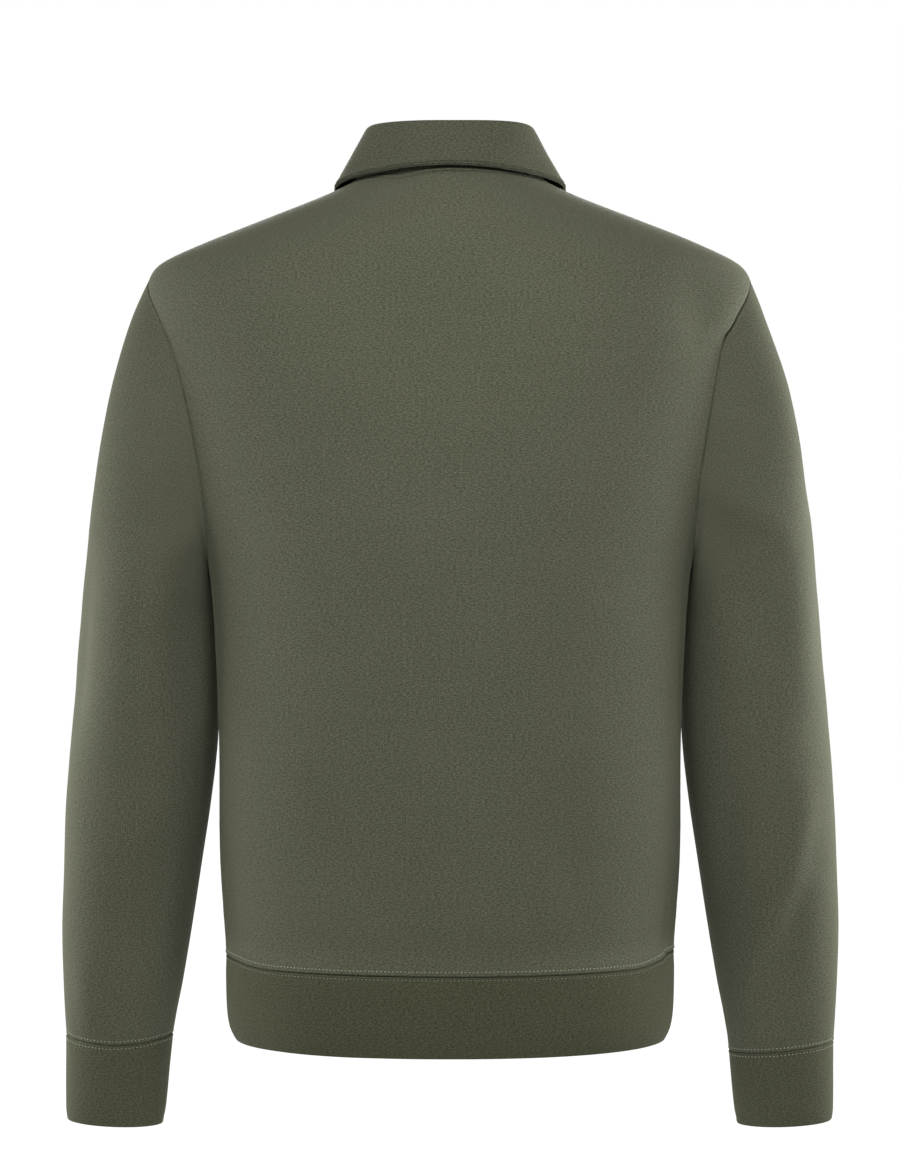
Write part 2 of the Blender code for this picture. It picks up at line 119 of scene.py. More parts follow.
class Finish:
    """A material, built one node at a time."""

    def __init__(self, name):
        self.material = bpy.data.materials.new(name)
        self.material.use_nodes = True
        self.shader = self.material.node_tree.nodes["Principled BSDF"]

    def fill(self, node, sockets):
        """Gives a node's sockets their values or links, by name or by number."""
        for key, value in sockets.items():
            if isinstance(key, int):
                socket = node.inputs[key]
            else:
                socket = next(s for s in node.inputs if s.enabled and s.name == key)
            if isinstance(value, Value):
                self.material.node_tree.links.new(value.socket, socket)
            else:
                socket.default_value = value

    def add(self, kind, settings=None, sockets=None):
        """Adds a node, its settings first, and returns its outputs by name."""
        node = self.material.node_tree.nodes.new(kind)
        for key, value in (settings or {}).items():
            setattr(node, key, value)
        self.fill(node, sockets or {})
        return {socket.name: Value(self, socket) for socket in node.outputs if socket.enabled}

    def fill_shader(self, sockets):
        self.fill(self.shader, sockets)
        return self

    def object_place(self):
        return self.add("ShaderNodeTexCoord")["Object"]

    def mix(self, factor, first, second):
        sockets = {"Factor": factor, "A": first, "B": second}
        return self.add("ShaderNodeMix", {"data_type": "RGBA"}, sockets)["Result"]

    def cloud(self, vector, scale, detail=2.0):
        sockets = {"Vector": vector, "Scale": scale, "Detail": detail}
        return self.add("ShaderNodeTexNoise", None, sockets)["Fac"]

    def stretched(self, vector, factors):
        sockets = {0: vector, 1: factors}
        return self.add("ShaderNodeVectorMath", {"operation": "MULTIPLY"}, sockets)["Vector"]

    def relief(self, strength, distance, height):
        sockets = {"Strength": strength, "Distance": distance, "Height": height}
        return self.add("ShaderNodeBump", None, sockets)["Normal"]


def placed(name, data):
    """A new object of the scene for a camera, a light or a mesh."""
    made = bpy.data.objects.new(name, data)
    bpy.context.scene.collection.objects.link(made)
    return made


def made_from(bm, name, *finishes):
    """A new object of the scene with the mesh that a bmesh holds, and its finishes."""
    mesh = bpy.data.meshes.new(name)
    bm.to_mesh(mesh)
    bm.free()
    for finish in finishes:
        mesh.materials.append(finish.material)
    return placed(name, mesh)


camera = bpy.data.cameras.new("camera")
camera.sensor_fit = "AUTO"
camera.sensor_width = SENSOR_WIDTH
camera.lens = CAMERA_LENS
camera_stand = placed("camera", camera)
camera_stand.location = CAMERA_PLACE
camera_stand.rotation_euler = CAMERA_TURN
bpy.context.scene.camera = camera_stand
bpy.context.scene.view_settings.view_transform = "Standard"

for box in SOFTBOXES:
    light = bpy.data.lights.new(box.name, "AREA")
    light.shape = "RECTANGLE"
    light.size = box.width
    light.size_y = box.height
    light.energy = box.power
    light_stand = placed(box.name, light)
    light_stand.location = box.place
    light_stand.rotation_euler = (Vector(box.aim) - Vector(box.place)).to_track_quat("-Z", "Y").to_euler()
    light_stand.visible_camera = False

surround = bpy.data.worlds.new("white_surround")
surround.use_nodes = True
background = surround.node_tree.nodes["Background"]
background.inputs["Color"].default_value = SURROUND_WHITE
background.inputs["Strength"].default_value = SURROUND_STRENGTH
bpy.context.scene.world = surround

paper = Finish("floor_paper")
paper_tone = paper.mix(paper.cloud(paper.object_place(), FLOOR_MOTTLE), FLOOR_SHADE, FLOOR_WHITE)
paper.fill_shader({"Base Color": paper_tone, "Roughness": 0.9})
paper.fill_shader({"Emission Color": FLOOR_WHITE, "Emission Strength": FLOOR_GLOW})
bm = bmesh.new()
bmesh.ops.create_grid(bm, x_segments=1, y_segments=1, size=FLOOR_HALF_SIZE)
bmesh.ops.translate(bm, verts=bm.verts, vec=(0, 0, FLOOR_HEIGHT))
floor = made_from(bm, "floor", paper)


# --------------------------------------
# Back panel: one piece of knitted cotton fleece, smooth outside and brushed inside, from the hem seam to the
# shoulder seams. Its armhole edges are sewn over the sleeves, so they stand a little proud of them, and the seam
# at the back of the neck is turned down and topstitched into a small welt.

WALL = 0.0016
SQUARENESS = 2.2
BodySection = namedtuple("BodySection", "height half_width back front")
BODY = table(
    BodySection,
    (0.000, 0.0760, 0.0720, 0.0400),
    (-0.012, 0.1020, 0.0800, 0.0440),
    (-0.030, 0.1486, 0.0915, 0.0525),
    (-0.048, 0.1942, 0.1005, 0.0630),
    (-0.062, 0.2240, 0.1055, 0.0715),
    (-0.073, 0.2335, 0.1085, 0.0780),
    (-0.090, 0.2365, 0.1120, 0.0865),
    (-0.125, 0.2290, 0.1175, 0.1000),
    (-0.186, 0.2150, 0.1235, 0.1150),
    (-0.250, 0.1990, 0.1245, 0.1220),
    (-0.300, 0.1875, 0.1230, 0.1210),
    (-0.355, 0.1828, 0.1200, 0.1160),
    (-0.430, 0.1797, 0.1165, 0.1110),
    (-0.515, 0.1794, 0.1160, 0.1100),
    (-0.565, 0.1768, 0.1185, 0.1130),
    (-0.602, 0.1742, 0.1180, 0.1135),
)
HEM_SEAM = -0.60185
SHOULDER_TIP = -0.073
UNDERARM = -0.300
ARMHOLE_MIDDLE = (SHOULDER_TIP + UNDERARM) / 2
ARMHOLE_REACH = (SHOULDER_TIP - UNDERARM) / 2
ARMHOLE_DEPTH = 0.055
SIDE_SEAM_HALF_GAP = 0.00035
BACK_NECK_RISE = 0.002
CLOTH_STEP = 0.0040
SHOULDER_STEP = 0.0018
PANEL_HALF_GIRTH = 0.245
NO_SEAM = (0.0,)
SEAM_STEPS = (0.0, 0.0006, 0.0013, 0.0021, 0.0029, 0.0038, 0.0050, 0.0068)
NECK_STEPS = (0.0, 0.0007, 0.0014, 0.0018, 0.0021, 0.0024, 0.0027, 0.0030, 0.0034, 0.0042, 0.0054, 0.0070)

WALE = 0.00105
COURSE = 0.00085
STRIPE = 0.0019
Cloud = namedtuple("Cloud", "stretch detail strength")
KNIT_CLOUDS = {
    "fleck": Cloud((430.0, 1100.0, 1.0), 1.0, 4.2),
    "grain": Cloud((1100.0, 1250.0, 1.0), 1.0, 5.0),
    "bands": Cloud((14.0, 160.0, 1.0), 3.0, 0.3),
    "drift": Cloud((11.0, 11.0, 11.0), 2.0, 0.5),
}
# Painted shade: how much darker the colour is made in the grooves between the columns of stitches.
GROOVE_PAINTED_SHADE = 0.12
GRAIN_HEIGHT = 1.2
KNIT_RELIEF = (0.35, 0.0002)
NAP_RELIEF = (0.5, 0.0006)
# Each cloth, thread and button is shaded between a dark colour and a light one.
OLIVE = ((0.0202, 0.0211, 0.0133, 1.0), (0.0369, 0.0378, 0.0263, 1.0))
NAP_TINT = (1.0, 1.0, 0.72, 1.0)
BRUSHED = ((0.0330, 0.0345, 0.0225, 1.0), (0.0620, 0.0640, 0.0440, 1.0))


def zigzag(value):
    """1 down to 0 and back over each whole step of a value."""
    return abs(value % 1.0 - 0.5) * 2


def knitted(name, shades, rib):
    """Smooth face of the fleece: fine columns of stitches, flecked dark and light, with a short soft nap."""
    finish = Finish(name)
    cloth_place = finish.add("ShaderNodeUVMap", {"uv_map": "cloth"})["UV"]
    axes = finish.add("ShaderNodeSeparateXYZ", None, {0: cloth_place})
    groove = zigzag(axes["X"] * (1 / WALE))
    lean = zigzag(axes["Y"] * (1 / COURSE) + groove * 0.5)
    # The grooves between the columns of stitches are darkened with painted shade.
    tone = 0.5 + (zigzag(axes["X"] * (1 / STRIPE)) - 0.5) * rib - groove**4 * GROOVE_PAINTED_SHADE
    clouds = {}
    for kind, cloud in KNIT_CLOUDS.items():
        clouds[kind] = finish.cloud(finish.stretched(cloth_place, cloud.stretch), 1.0, cloud.detail) - 0.5
        tone += clouds[kind] * cloud.strength
    height = (1 - groove**3) * (lean * 0.5 + 0.5) + clouds["grain"] * GRAIN_HEIGHT
    sockets = {"Base Color": finish.mix(tone, *shades), "Roughness": 0.93}
    sockets |= {"Normal": finish.relief(*KNIT_RELIEF, height), "Specular IOR Level": 0.04}
    sockets |= {"Sheen Weight": 0.03, "Sheen Roughness": 0.4, "Sheen Tint": NAP_TINT}
    return finish.fill_shader(sockets)


def brushed(name):
    """Inside of the fleece: raised fibres with no stitches showing, paler than the face."""
    finish = Finish(name)
    cloth_place = finish.object_place()
    tuft = finish.cloud(cloth_place, 420.0, 4.0)
    tone = (tuft - 0.5) * 1.6 + 0.35 + finish.cloud(cloth_place, 30.0) * 0.3
    sockets = {"Base Color": finish.mix(tone, *BRUSHED), "Roughness": 0.97}
    sockets |= {"Normal": finish.relief(*NAP_RELIEF, tuft), "Sheen Weight": 0.05}
    return finish.fill_shader(sockets)


def at_height(sections, column, height):
    """A smooth curve through one column of a table whose rows run from top to bottom."""
    rows = [(row.height, getattr(row, column)) for row in sections]
    height = min(max(height, rows[-1][0]), rows[0][0])
    index = next((i for i in range(len(rows) - 2) if height > rows[i + 1][0]), len(rows) - 2)

    def slope(i):
        above = rows[max(i - 1, 0)]
        below = rows[min(i + 1, len(rows) - 1)]
        return (above[1] - below[1]) / (above[0] - below[0])

    (start, first), (end, last) = rows[index], rows[index + 1]
    span = end - start
    t = (height - start) / span
    return (
        first * (1 + 2 * t) * (1 - t) ** 2
        + last * t * t * (3 - 2 * t)
        + slope(index) * span * t * (1 - t) ** 2
        - slope(index + 1) * span * t * t * (1 - t)
    )


def squared(part, squareness=SQUARENESS):
    """A sine or cosine raised to a power, so that an oval made with it is squarer than an ellipse."""
    return copysign(abs(part) ** (2 / squareness), part)


def oval_share(reach):
    """How much of its depth an oval of the body's squareness has left, at a fraction of its half width."""
    return (1 - min(reach, 1.0) ** SQUARENESS) ** (1 / SQUARENESS)


def body_depth(x, height, side):
    return at_height(BODY, side, height) * oval_share(abs(x) / at_height(BODY, "half_width", height))


def body_half_width(y, height):
    reach = abs(y) / at_height(BODY, "back" if y > 0 else "front", height)
    return at_height(BODY, "half_width", height) * oval_share(reach)


@functools.lru_cache(None)
def edge_angle(height, side):
    """Angle round the body, from its middle, at which a panel's side edge lies."""
    from_middle = (height - ARMHOLE_MIDDLE) / ARMHOLE_REACH
    gap = SIDE_SEAM_HALF_GAP
    if abs(from_middle) < 1:
        gap = max(ARMHOLE_DEPTH * sqrt(1 - from_middle**2), SIDE_SEAM_HALF_GAP)
    return acos((gap / at_height(BODY, side, height)) ** (SQUARENESS / 2))


def panel_angle(across, edge_height, side):
    """Angle round the body at a fraction of the way across a panel, on the row that meets its side edge at a height."""
    return abs(across) * pi / 2 - (pi / 2 - edge_angle(edge_height, side)) * across**2


def body_point(across, edge_height, height, side):
    angle = panel_angle(across, edge_height, side)
    x = copysign(at_height(BODY, "half_width", height) * squared(sin(angle)), across)
    y = at_height(BODY, side, height) * squared(cos(angle))
    return Vector((x, y if side == "back" else -y, height))


def stations(start, end, step, scale=1.0, near=SEAM_STEPS, far=SEAM_STEPS):
    """Values from start to end, a step of cloth apart and closer together beside a seam; scale is metres a unit."""
    length = abs(end - start) * scale
    first = list(near)
    last = [length - distance for distance in reversed(far)]
    gap = last[0] - first[-1]
    count = max(1, round(gap / step))
    middle = [first[-1] + gap * k / count for k in range(1, count)]
    return [start + (end - start) * distance / length for distance in first + middle + last]


Spot = namedtuple("Spot", "column row left right below above point")
Piece = namedtuple("Piece", "object spots points normals")


def run_lengths(points):
    """Length of a line of points up to each of them."""
    lengths = [0.0]
    for start, end in zip(points, points[1:]):
        lengths.append(lengths[-1] + (end - start).length)
    return lengths


def cloth(name, columns, rows, place, rise, finishes, wall=WALL, around=False, folded=False, sunk=0.0):
    """A piece of cloth: a grid laid out by place, raised or sunk by rise, then given its wall on the inner side.

    Columns run anticlockwise seen from above and rows run upwards. A tube closes around, and a band that is folded
    double closes over its rows. Its flat lengths go into the map that the knit follows.
    """
    bm = bmesh.new()
    layer = bm.loops.layers.uv.new("cloth")
    wide, tall = len(columns) - 1, len(rows) - 1
    bmesh.ops.create_grid(bm, x_segments=wide, y_segments=tall, size=1)
    grid = [[None] * len(columns) for _ in rows]
    where = {}
    for vert in bm.verts:
        i, j = round((vert.co.x + 1) * wide / 2), round((vert.co.y + 1) * tall / 2)
        vert.co = place(columns[i], rows[j])
        grid[j][i] = vert
        where[vert] = i, j
    flat = [[vert.co.copy() for vert in row] for row in grid]
    across = [run_lengths(row) for row in flat]
    along = list(zip(*(run_lengths(column) for column in zip(*flat))))
    for face in bm.faces:
        for loop in face.loops:
            i, j = where[loop.vert]
            loop[layer].uv = (across[j][i] - across[j][wide] / 2, along[j][i])
    bm.normal_update()
    normals = [[vert.normal.copy() for vert in row] for row in grid]
    if around:
        for row in normals:
            row[0] = row[-1] = (row[0] + row[-1]).normalized()
    spots = [[None] * len(columns) for _ in rows]
    for vert, (i, j) in where.items():
        left, below = across[j][i], along[j][i]
        right, above = across[j][wide] - left, along[tall][i] - below
        spots[j][i] = Spot(columns[i], rows[j], left, right, below, above, flat[j][i])
        vert.co += normals[j][i] * (rise(spots[j][i]) - sunk)
    points = [[vert.co.copy() for vert in row] for row in grid]
    if around or folded:
        bmesh.ops.remove_doubles(bm, verts=bm.verts, dist=1e-6)
    made = made_from(bm, name, *finishes)
    made.data.shade_smooth()
    if not folded:
        shell = made.modifiers.new("wall", "SOLIDIFY")
        shell.thickness = wall
        shell.offset = -1
        shell.material_offset = len(finishes) - 1
    return Piece(made, spots, points, normals)


def worn(made, node=None):
    """Fixes a piece to the sweatshirt's one body, in the place of the plain solid it stands for, if any."""
    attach(made, "root")
    if node:
        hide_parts(node)


Ridge = namedtuple("Ridge", "rise middle width")


def ridged(ridges, distance):
    """Height of the soft ridges and channels of a table that run beside a seam, at a distance from it."""
    return sum(ridge.rise * exp(-(((distance - ridge.middle) / ridge.width) ** 2)) for ridge in ridges)


def rolled(distance, width=0.0012, depth=0.0008):
    """The turn of a sewn edge into its seam."""
    return -depth * exp(-((distance / width) ** 2))


def eased(t):
    """A smooth step from 0 to 1."""
    t = min(max(t, 0.0), 1.0)
    return t * t * (3 - 2 * t)


def puckered(distance, along, reach=0.010, depth=0.00035):
    """Small uneven ripples beside a seam, where the stitches draw the cloth in."""
    wave = noise.noise(Vector((along * 110, 3.7, 0))) + 0.6 * noise.noise(Vector((along * 260, 9.1, 0)))
    return depth * wave * exp(-distance / reach)


def uneven(point, depth=0.0010):
    """Slow rise and fall of worn cloth."""
    place = Vector(point)
    return depth * (noise.noise(place * 9) + 0.4 * noise.noise(place * 24))


Fold = namedtuple("Fold", "x height x_end height_end bow width rise")


def folded_by(folds, x, height):
    """Height of the soft ridges and troughs of a table at a flat place: each runs between two ends, bowed aside."""
    total = 0.0
    for fold in folds:
        run = Vector((fold.x_end - fold.x, fold.height_end - fold.height))
        away = Vector((x - fold.x, height - fold.height))
        t = away.dot(run) / run.length_squared
        if 0 < t < 1:
            fade = sin(pi * t)
            offset = (away.x * run.y - away.y * run.x) / run.length - fold.bow * fade
            total += fold.rise * fade * exp(-((offset / fold.width) ** 2))
    return total


def panel_rows():
    """Edge heights up a panel: hem seam to underarm, round the armhole, then along the shoulder seam."""
    below = stations(HEM_SEAM, UNDERARM, CLOTH_STEP, far=NO_SEAM)
    turns = [pi * (1 - k / 60) for k in range(3, 58)]
    beside = [ARMHOLE_MIDDLE + ARMHOLE_REACH * cos(turn) for turn in turns]
    above = stations(SHOULDER_TIP, 0.0, SHOULDER_STEP, near=NO_SEAM, far=NECK_STEPS)
    return below + beside + above


NECK_SEAM_DIP = 0.0036
NECK_SEAM_DIP_PLACE = 0.036
NECK_SEAM_DIP_WIDTH = 0.017
NECK_WELT_RISE = 0.0018
NECK_STITCH = 0.0029
NECK_WELT_FADE = 0.012
NECK_RIDGES = table(Ridge, (0.0009, 0.0012, 0.0010), (-0.0015, NECK_STITCH, 0.0006))
HEM_TURN = 0.0008
HEM_STITCH_ABOVE = 0.0036
HEM_RIDGES = table(Ridge, (0.0004, HEM_STITCH_ABOVE / 2, 0.0016), (-0.0003, HEM_STITCH_ABOVE, 0.0007))
HEM_DRAWN_UP = 0.08
Draw = namedtuple("Draw", "height reach fade")
HEM_DRAWS = {
    "left": table(Draw, (0.0042, 0.085, 0.055)),
    "right": table(Draw, (0.0046, 0.078, 0.034), (0.0030, 0.046, 0.003)),
}
HEM_DRAWN_IN = 0.0062
HEM_DRAWN_IN_TOP = 0.170
HEM_DRAWN_IN_FADE = 0.158
HEM_DRAWN_IN_FOOT = 0.0100
HEM_DRAWN_IN_SIDE = 0.045
SIDE_SEAM_TURN = 0.6
ARMHOLE_LIP = table(Ridge, (1.0, 0.004, 0.0035))
ARMHOLE_LIP_START = 0.35
ARMHOLE_PROUD = {"back_left": 0.0005, "back_right": 0.0014, "front": 0.0006}
BACK_FOLDS = table(
    Fold,
    (0.155, -0.20, 0.05, -0.36, 0.012, 0.022, -0.0016),
    (-0.150, -0.19, -0.06, -0.33, -0.010, 0.020, -0.0014),
    (0.060, -0.58, 0.085, -0.40, 0.008, 0.020, -0.0016),
    (-0.035, -0.59, -0.020, -0.43, -0.006, 0.018, 0.0014),
    (-0.110, -0.585, -0.085, -0.47, 0.006, 0.016, -0.0014),
    (0.010, -0.07, 0.012, -0.28, 0.006, 0.045, -0.0016),
    (0.120, -0.075, 0.070, -0.20, 0.010, 0.030, 0.0012),
    (-0.120, -0.085, -0.075, -0.21, -0.010, 0.030, 0.0012),
    (-0.175, -0.062, -0.200, -0.150, 0.000, 0.020, -0.0034),
)
ARMHOLE_TUCK = table(Fold, (-0.2260, -0.070, -0.2000, -0.134, 0.0, 0.0130, 0.0034))
ARMHOLE_TUCK_START = 0.008
HELD_BY_SEAM = 0.040
HELD_BY_NECK = 0.05
TUCK_PLACE = Vector((-0.2165, 0.044, -0.122))
Pull = namedtuple("Pull", "depth above below beside")
TUCK_PULLS = table(Pull, (0.0042, 0.060, 0.060, 0.034), (0.0022, 0.006, 0.016, 0.022))


def tucked(point):
    """The right armhole's seam is drawn in over its upper part, most of all under a small tuck caught in it."""
    away = point - TUCK_PLACE
    drawn = 0.0
    for pull in TUCK_PULLS:
        upright = away.z / (pull.above if away.z > 0 else pull.below)
        drawn += pull.depth * exp(-(upright**2) - (away.x**2 + away.y**2) / pull.beside**2)
    return point + Vector((drawn, 0, 0))


def hem_drift(point):
    """How far the hem seam is drawn up beside a side seam, with a small jog where the right one meets it."""
    draws = HEM_DRAWS["left" if point.x > 0 else "right"]
    return sum(draw.height * eased((draw.reach - abs(point.y)) / draw.fade) for draw in draws)


def drawn_up(point, row):
    """A panel's point, with its hem seam drawn up at the sides."""
    return point + Vector((0, 0, hem_drift(point) * eased(1 - (row - HEM_SEAM) / HEM_DRAWN_UP)))


def back_place(across, row):
    raised = max(1 - row / SHOULDER_TIP, 0.0)
    angle = panel_angle(across, row, "back")
    height = row + BACK_NECK_RISE * cos(angle) ** 2 * raised
    point = body_point(across, row, height, "back")
    dip = NECK_SEAM_DIP * exp(-(((point.x - NECK_SEAM_DIP_PLACE) / NECK_SEAM_DIP_WIDTH) ** 2))
    if row > SHOULDER_TIP:
        point.z += (NECK_WELT_RISE * cos(angle) ** 2 - dip) * exp(row / NECK_WELT_FADE)
    return tucked(drawn_up(point, row))


def beside_armhole(row):
    """1 half way down an armhole, falling to nothing at the shoulder and under the arm."""
    t = (row - UNDERARM) / (SHOULDER_TIP - UNDERARM)
    return sin(pi * t) * eased((1 - t) / ARMHOLE_LIP_START) if 0 < t < 1 else 0.0


def slack(edge, height):
    """How freely a panel moves: not at all beside its seams and the neck."""
    return eased(edge / HELD_BY_SEAM) * eased(-height / HELD_BY_NECK)


def panel_rise(spot, phase=0.0):
    """Height of either panel's cloth at its seams, where it is turned in, stitched and a little puckered."""
    edge = min(spot.left, spot.right)
    total = rolled(edge) * SIDE_SEAM_TURN + rolled(spot.below, HEM_TURN) + rolled(spot.above)
    total += ridged(HEM_RIDGES, spot.below) + puckered(spot.below, spot.point.x + phase)
    return total + puckered(edge, spot.point.z + phase, depth=0.0002)


def back_rise(spot):
    edge = min(spot.left, spot.right)
    total = panel_rise(spot)
    if spot.row > SHOULDER_TIP / 3:
        total += ridged(NECK_RIDGES, spot.above)
    drawn_in = eased((HEM_DRAWN_IN_TOP - spot.below) / HEM_DRAWN_IN_FADE) * eased(edge / HEM_DRAWN_IN_SIDE)
    total -= HEM_DRAWN_IN * drawn_in * (1 - exp(-((spot.below / HEM_DRAWN_IN_FOOT) ** 2)))
    proud = ARMHOLE_PROUD["back_right" if spot.point.x < 0 else "back_left"]
    total += proud * beside_armhole(spot.row) * ridged(ARMHOLE_LIP, edge)
    total += eased(edge / ARMHOLE_TUCK_START) * folded_by(ARMHOLE_TUCK, spot.point.x, spot.point.z)
    loose = uneven(spot.point) + folded_by(BACK_FOLDS, spot.point.x, spot.point.z)
    return total + slack(edge, spot.point.z) * loose


face = knitted("fleece_face", OLIVE, 0.10)
inside = brushed("fleece_inside")
back_columns = stations(1.0, -1.0, CLOTH_STEP, scale=PANEL_HALF_GIRTH)
back = cloth("back_panel", back_columns, panel_rows(), back_place, back_rise, (face, inside))
worn(back.object, "back")


# --------------------------------------
# Front panel: the same fleece, cut lower at the neck and slit at centre front under the placket. It is sewn to
# the back at the shoulders and sides, where strips of both panels' edges lie pressed flat behind the seams.

FRONT_NECK_DROP = 0.075
NECK_HALF_WIDTH = 0.076
PLACKET_BOTTOM = -0.192
SLIT_HALF_WIDTH = 0.0012
FLAT_HALF_WIDTH = 0.020
FLAT_FOOT = PLACKET_BOTTOM - 0.02
FLAT_FADE_BESIDE = 0.04
FLAT_FADE_BELOW = 0.05
TURNED_IN = 0.005
TURNED_IN_WALL = 0.0012
TURNED_IN_DEPTH = 0.0019
SHOULDER_SEAM = (-0.068, -0.005, SHOULDER_STEP)
SIDE_SEAM = (HEM_SEAM + 0.012, UNDERARM - 0.005, CLOTH_STEP)
FRONT_FOLDS = table(
    Fold,
    (0.150, -0.21, 0.060, -0.34, 0.012, 0.022, -0.0016),
    (-0.155, -0.20, -0.050, -0.36, -0.012, 0.020, -0.0015),
    (-0.060, -0.58, -0.080, -0.42, 0.008, 0.020, -0.0015),
    (0.040, -0.59, 0.030, -0.44, -0.006, 0.018, 0.0013),
    (0.105, -0.585, 0.085, -0.48, 0.006, 0.016, -0.0014),
    (0.0, -0.21, 0.004, -0.40, 0.006, 0.040, -0.0014),
)


@functools.lru_cache(None)
def neckline_drop(across):
    """Height at which a column of the front, a fraction of the way across, meets the neckline."""
    spread = squared(sin(abs(across) * pi / 2))
    low, high = -FRONT_NECK_DROP, 0.0
    for _ in range(40):
        middle = (low + high) / 2
        oval = sqrt(max(1 - (middle / FRONT_NECK_DROP) ** 2, 0.0)) * NECK_HALF_WIDTH
        if spread * at_height(BODY, "half_width", middle) > oval:
            low = middle
        else:
            high = middle
    return high


def front_place(across, row):
    lowered = max(1 - row / UNDERARM, 0.0)
    return drawn_up(body_point(across, row, row + neckline_drop(across) * lowered, "front"), row)


def front_rise(spot):
    edge = min(spot.left, spot.right)
    total = panel_rise(spot, phase=1.0)
    total += ARMHOLE_PROUD["front"] * beside_armhole(spot.row) * ridged(ARMHOLE_LIP, edge)
    beside, below = abs(spot.point.x) - FLAT_HALF_WIDTH, FLAT_FOOT - spot.point.z
    free = max(eased(beside / FLAT_FADE_BESIDE), eased(below / FLAT_FADE_BELOW))
    loose = uneven(spot.point) + folded_by(FRONT_FOLDS, spot.point.x, spot.point.z)
    return total + free * slack(edge, spot.point.z) * loose


def in_slit(middle):
    """Whether a face of the front, with its middle there, is cut away for the slit under the placket."""
    return abs(middle.x) < SLIT_HALF_WIDTH / 2 and middle.z > PLACKET_BOTTOM


def seam_allowance(name, outwards, start, end, step):
    """The panels' edges pressed flat behind a seam: the left one where outwards is 1, the right one where it is -1."""
    across = stations(-TURNED_IN, TURNED_IN, CLOTH_STEP / 2, near=NO_SEAM, far=NO_SEAM)
    up = stations(start, end, step, near=NO_SEAM, far=NO_SEAM)

    def place(y, height):
        return Vector((outwards * body_half_width(y, height), outwards * y, height))

    strip = cloth(name, across, up, place, lambda spot: 0.0, (face, inside), wall=TURNED_IN_WALL, sunk=TURNED_IN_DEPTH)
    worn(strip.object)
    return strip.object


slit_share = SLIT_HALF_WIDTH / at_height(BODY, "half_width", -FRONT_NECK_DROP)
slit_fraction = slit_share ** (SQUARENESS / 2) * 2 / pi
front_half = stations(-1.0, -slit_fraction, CLOTH_STEP, scale=PANEL_HALF_GIRTH, far=NO_SEAM)
front_columns = front_half + [-value for value in reversed(front_half)]
front = cloth("front_panel", front_columns, panel_rows(), front_place, front_rise, (face, inside))
bm = bmesh.new()
bm.from_mesh(front.object.data)
slit_faces = [part for part in bm.faces if in_slit(part.calc_center_median())]
bmesh.ops.delete(bm, geom=slit_faces, context="FACES")
bm.to_mesh(front.object.data)
bm.free()
worn(front.object, "front")

for side, outwards in (("left", 1), ("right", -1)):
    seam_allowance(f"shoulder_{side}_allowance", outwards, *SHOULDER_SEAM)
    seam_allowance(f"side_{side}_allowance", outwards, *SIDE_SEAM)


# --------------------------------------
# Sleeves: one piece each of the same fleece, seamed under the arm and set into the armholes with the allowance
# turned in under the panels' edges. They hang a little forward, wide at the elbow and narrow at the wrist.

ArmSection = namedtuple("ArmSection", "height middle shift half_width half_depth")
SLEEVE = table(
    ArmSection,
    (-0.340, 0.2375, -0.021, 0.0535, 0.0600),
    (-0.398, 0.2393, -0.026, 0.0570, 0.0585),
    (-0.434, 0.2414, -0.029, 0.0580, 0.0570),
    (-0.482, 0.2461, -0.033, 0.0570, 0.0545),
    (-0.530, 0.2509, -0.036, 0.0544, 0.0510),
    (-0.577, 0.2555, -0.039, 0.0516, 0.0470),
    (-0.6255, 0.2595, -0.042, 0.0473, 0.0425),
    (-0.6495, 0.2616, -0.0435, 0.0445, 0.0395),
    (-0.670, 0.2629, -0.045, 0.0421, 0.0365),
)
SLEEVE_TOP = SLEEVE[0].height
SLEEVE_SEAM = -0.66985
SLEEVE_RADIUS = 0.056
SLEEVE_FALL = 64
SLEEVE_SIDE_LIFT = 30
SLEEVE_UNDERARM_FALL = 26
SLEEVE_LEAVES_BODY = 0.26
SLEEVE_JOINS_ARM = 0.37
ARMHOLE_GAP = 0.0009
CLEARANCE = 0.0003
CLEARANCE_SLOPE = 0.05
CLEARANCE_ADDED = 0.0010
CUFF_STITCH_ABOVE = 0.0031
SLEEVE_RIDGES = table(Ridge, (0.0004, CUFF_STITCH_ABOVE / 2, 0.0014), (-0.0003, CUFF_STITCH_ABOVE, 0.0007))
SLEEVE_HEAD_LENGTH = 0.27
SLEEVE_HEAD_STEP = 0.0045
RIPPLE_START = 0.010
HOLLOW_DEPTH = 0.0016
HOLLOW_REACH = 0.003
HOLLOW_FRONT_SHARE = 0.3
CUFF = table(
    ArmSection,
    (-0.670, 0.2629, -0.045, 0.0421, 0.0365),
    (-0.690, 0.2640, -0.0465, 0.0411, 0.0352),
    (-0.728, 0.2661, -0.0488, 0.0393, 0.0316),
    (-0.737, 0.2665, -0.049, 0.0378, 0.0300),
)
WRIST_TWISTED = 0.09
LEFT_WRIST_RAISED = 0.0018
LEFT_WRIST_DIP = 0.0045
RIGHT_WRIST_LOWERED = 0.0075
RIGHT_WRIST_TILT = 0.0043
Tuck = namedtuple("Tuck", "outset depth")
ALLOWANCE = table(Tuck, (-0.0002, 0.0012), (0.0008, 0.0028), (0.0028, 0.0034), (0.0060, 0.0034))
ALLOWANCE_LENGTH = 0.009
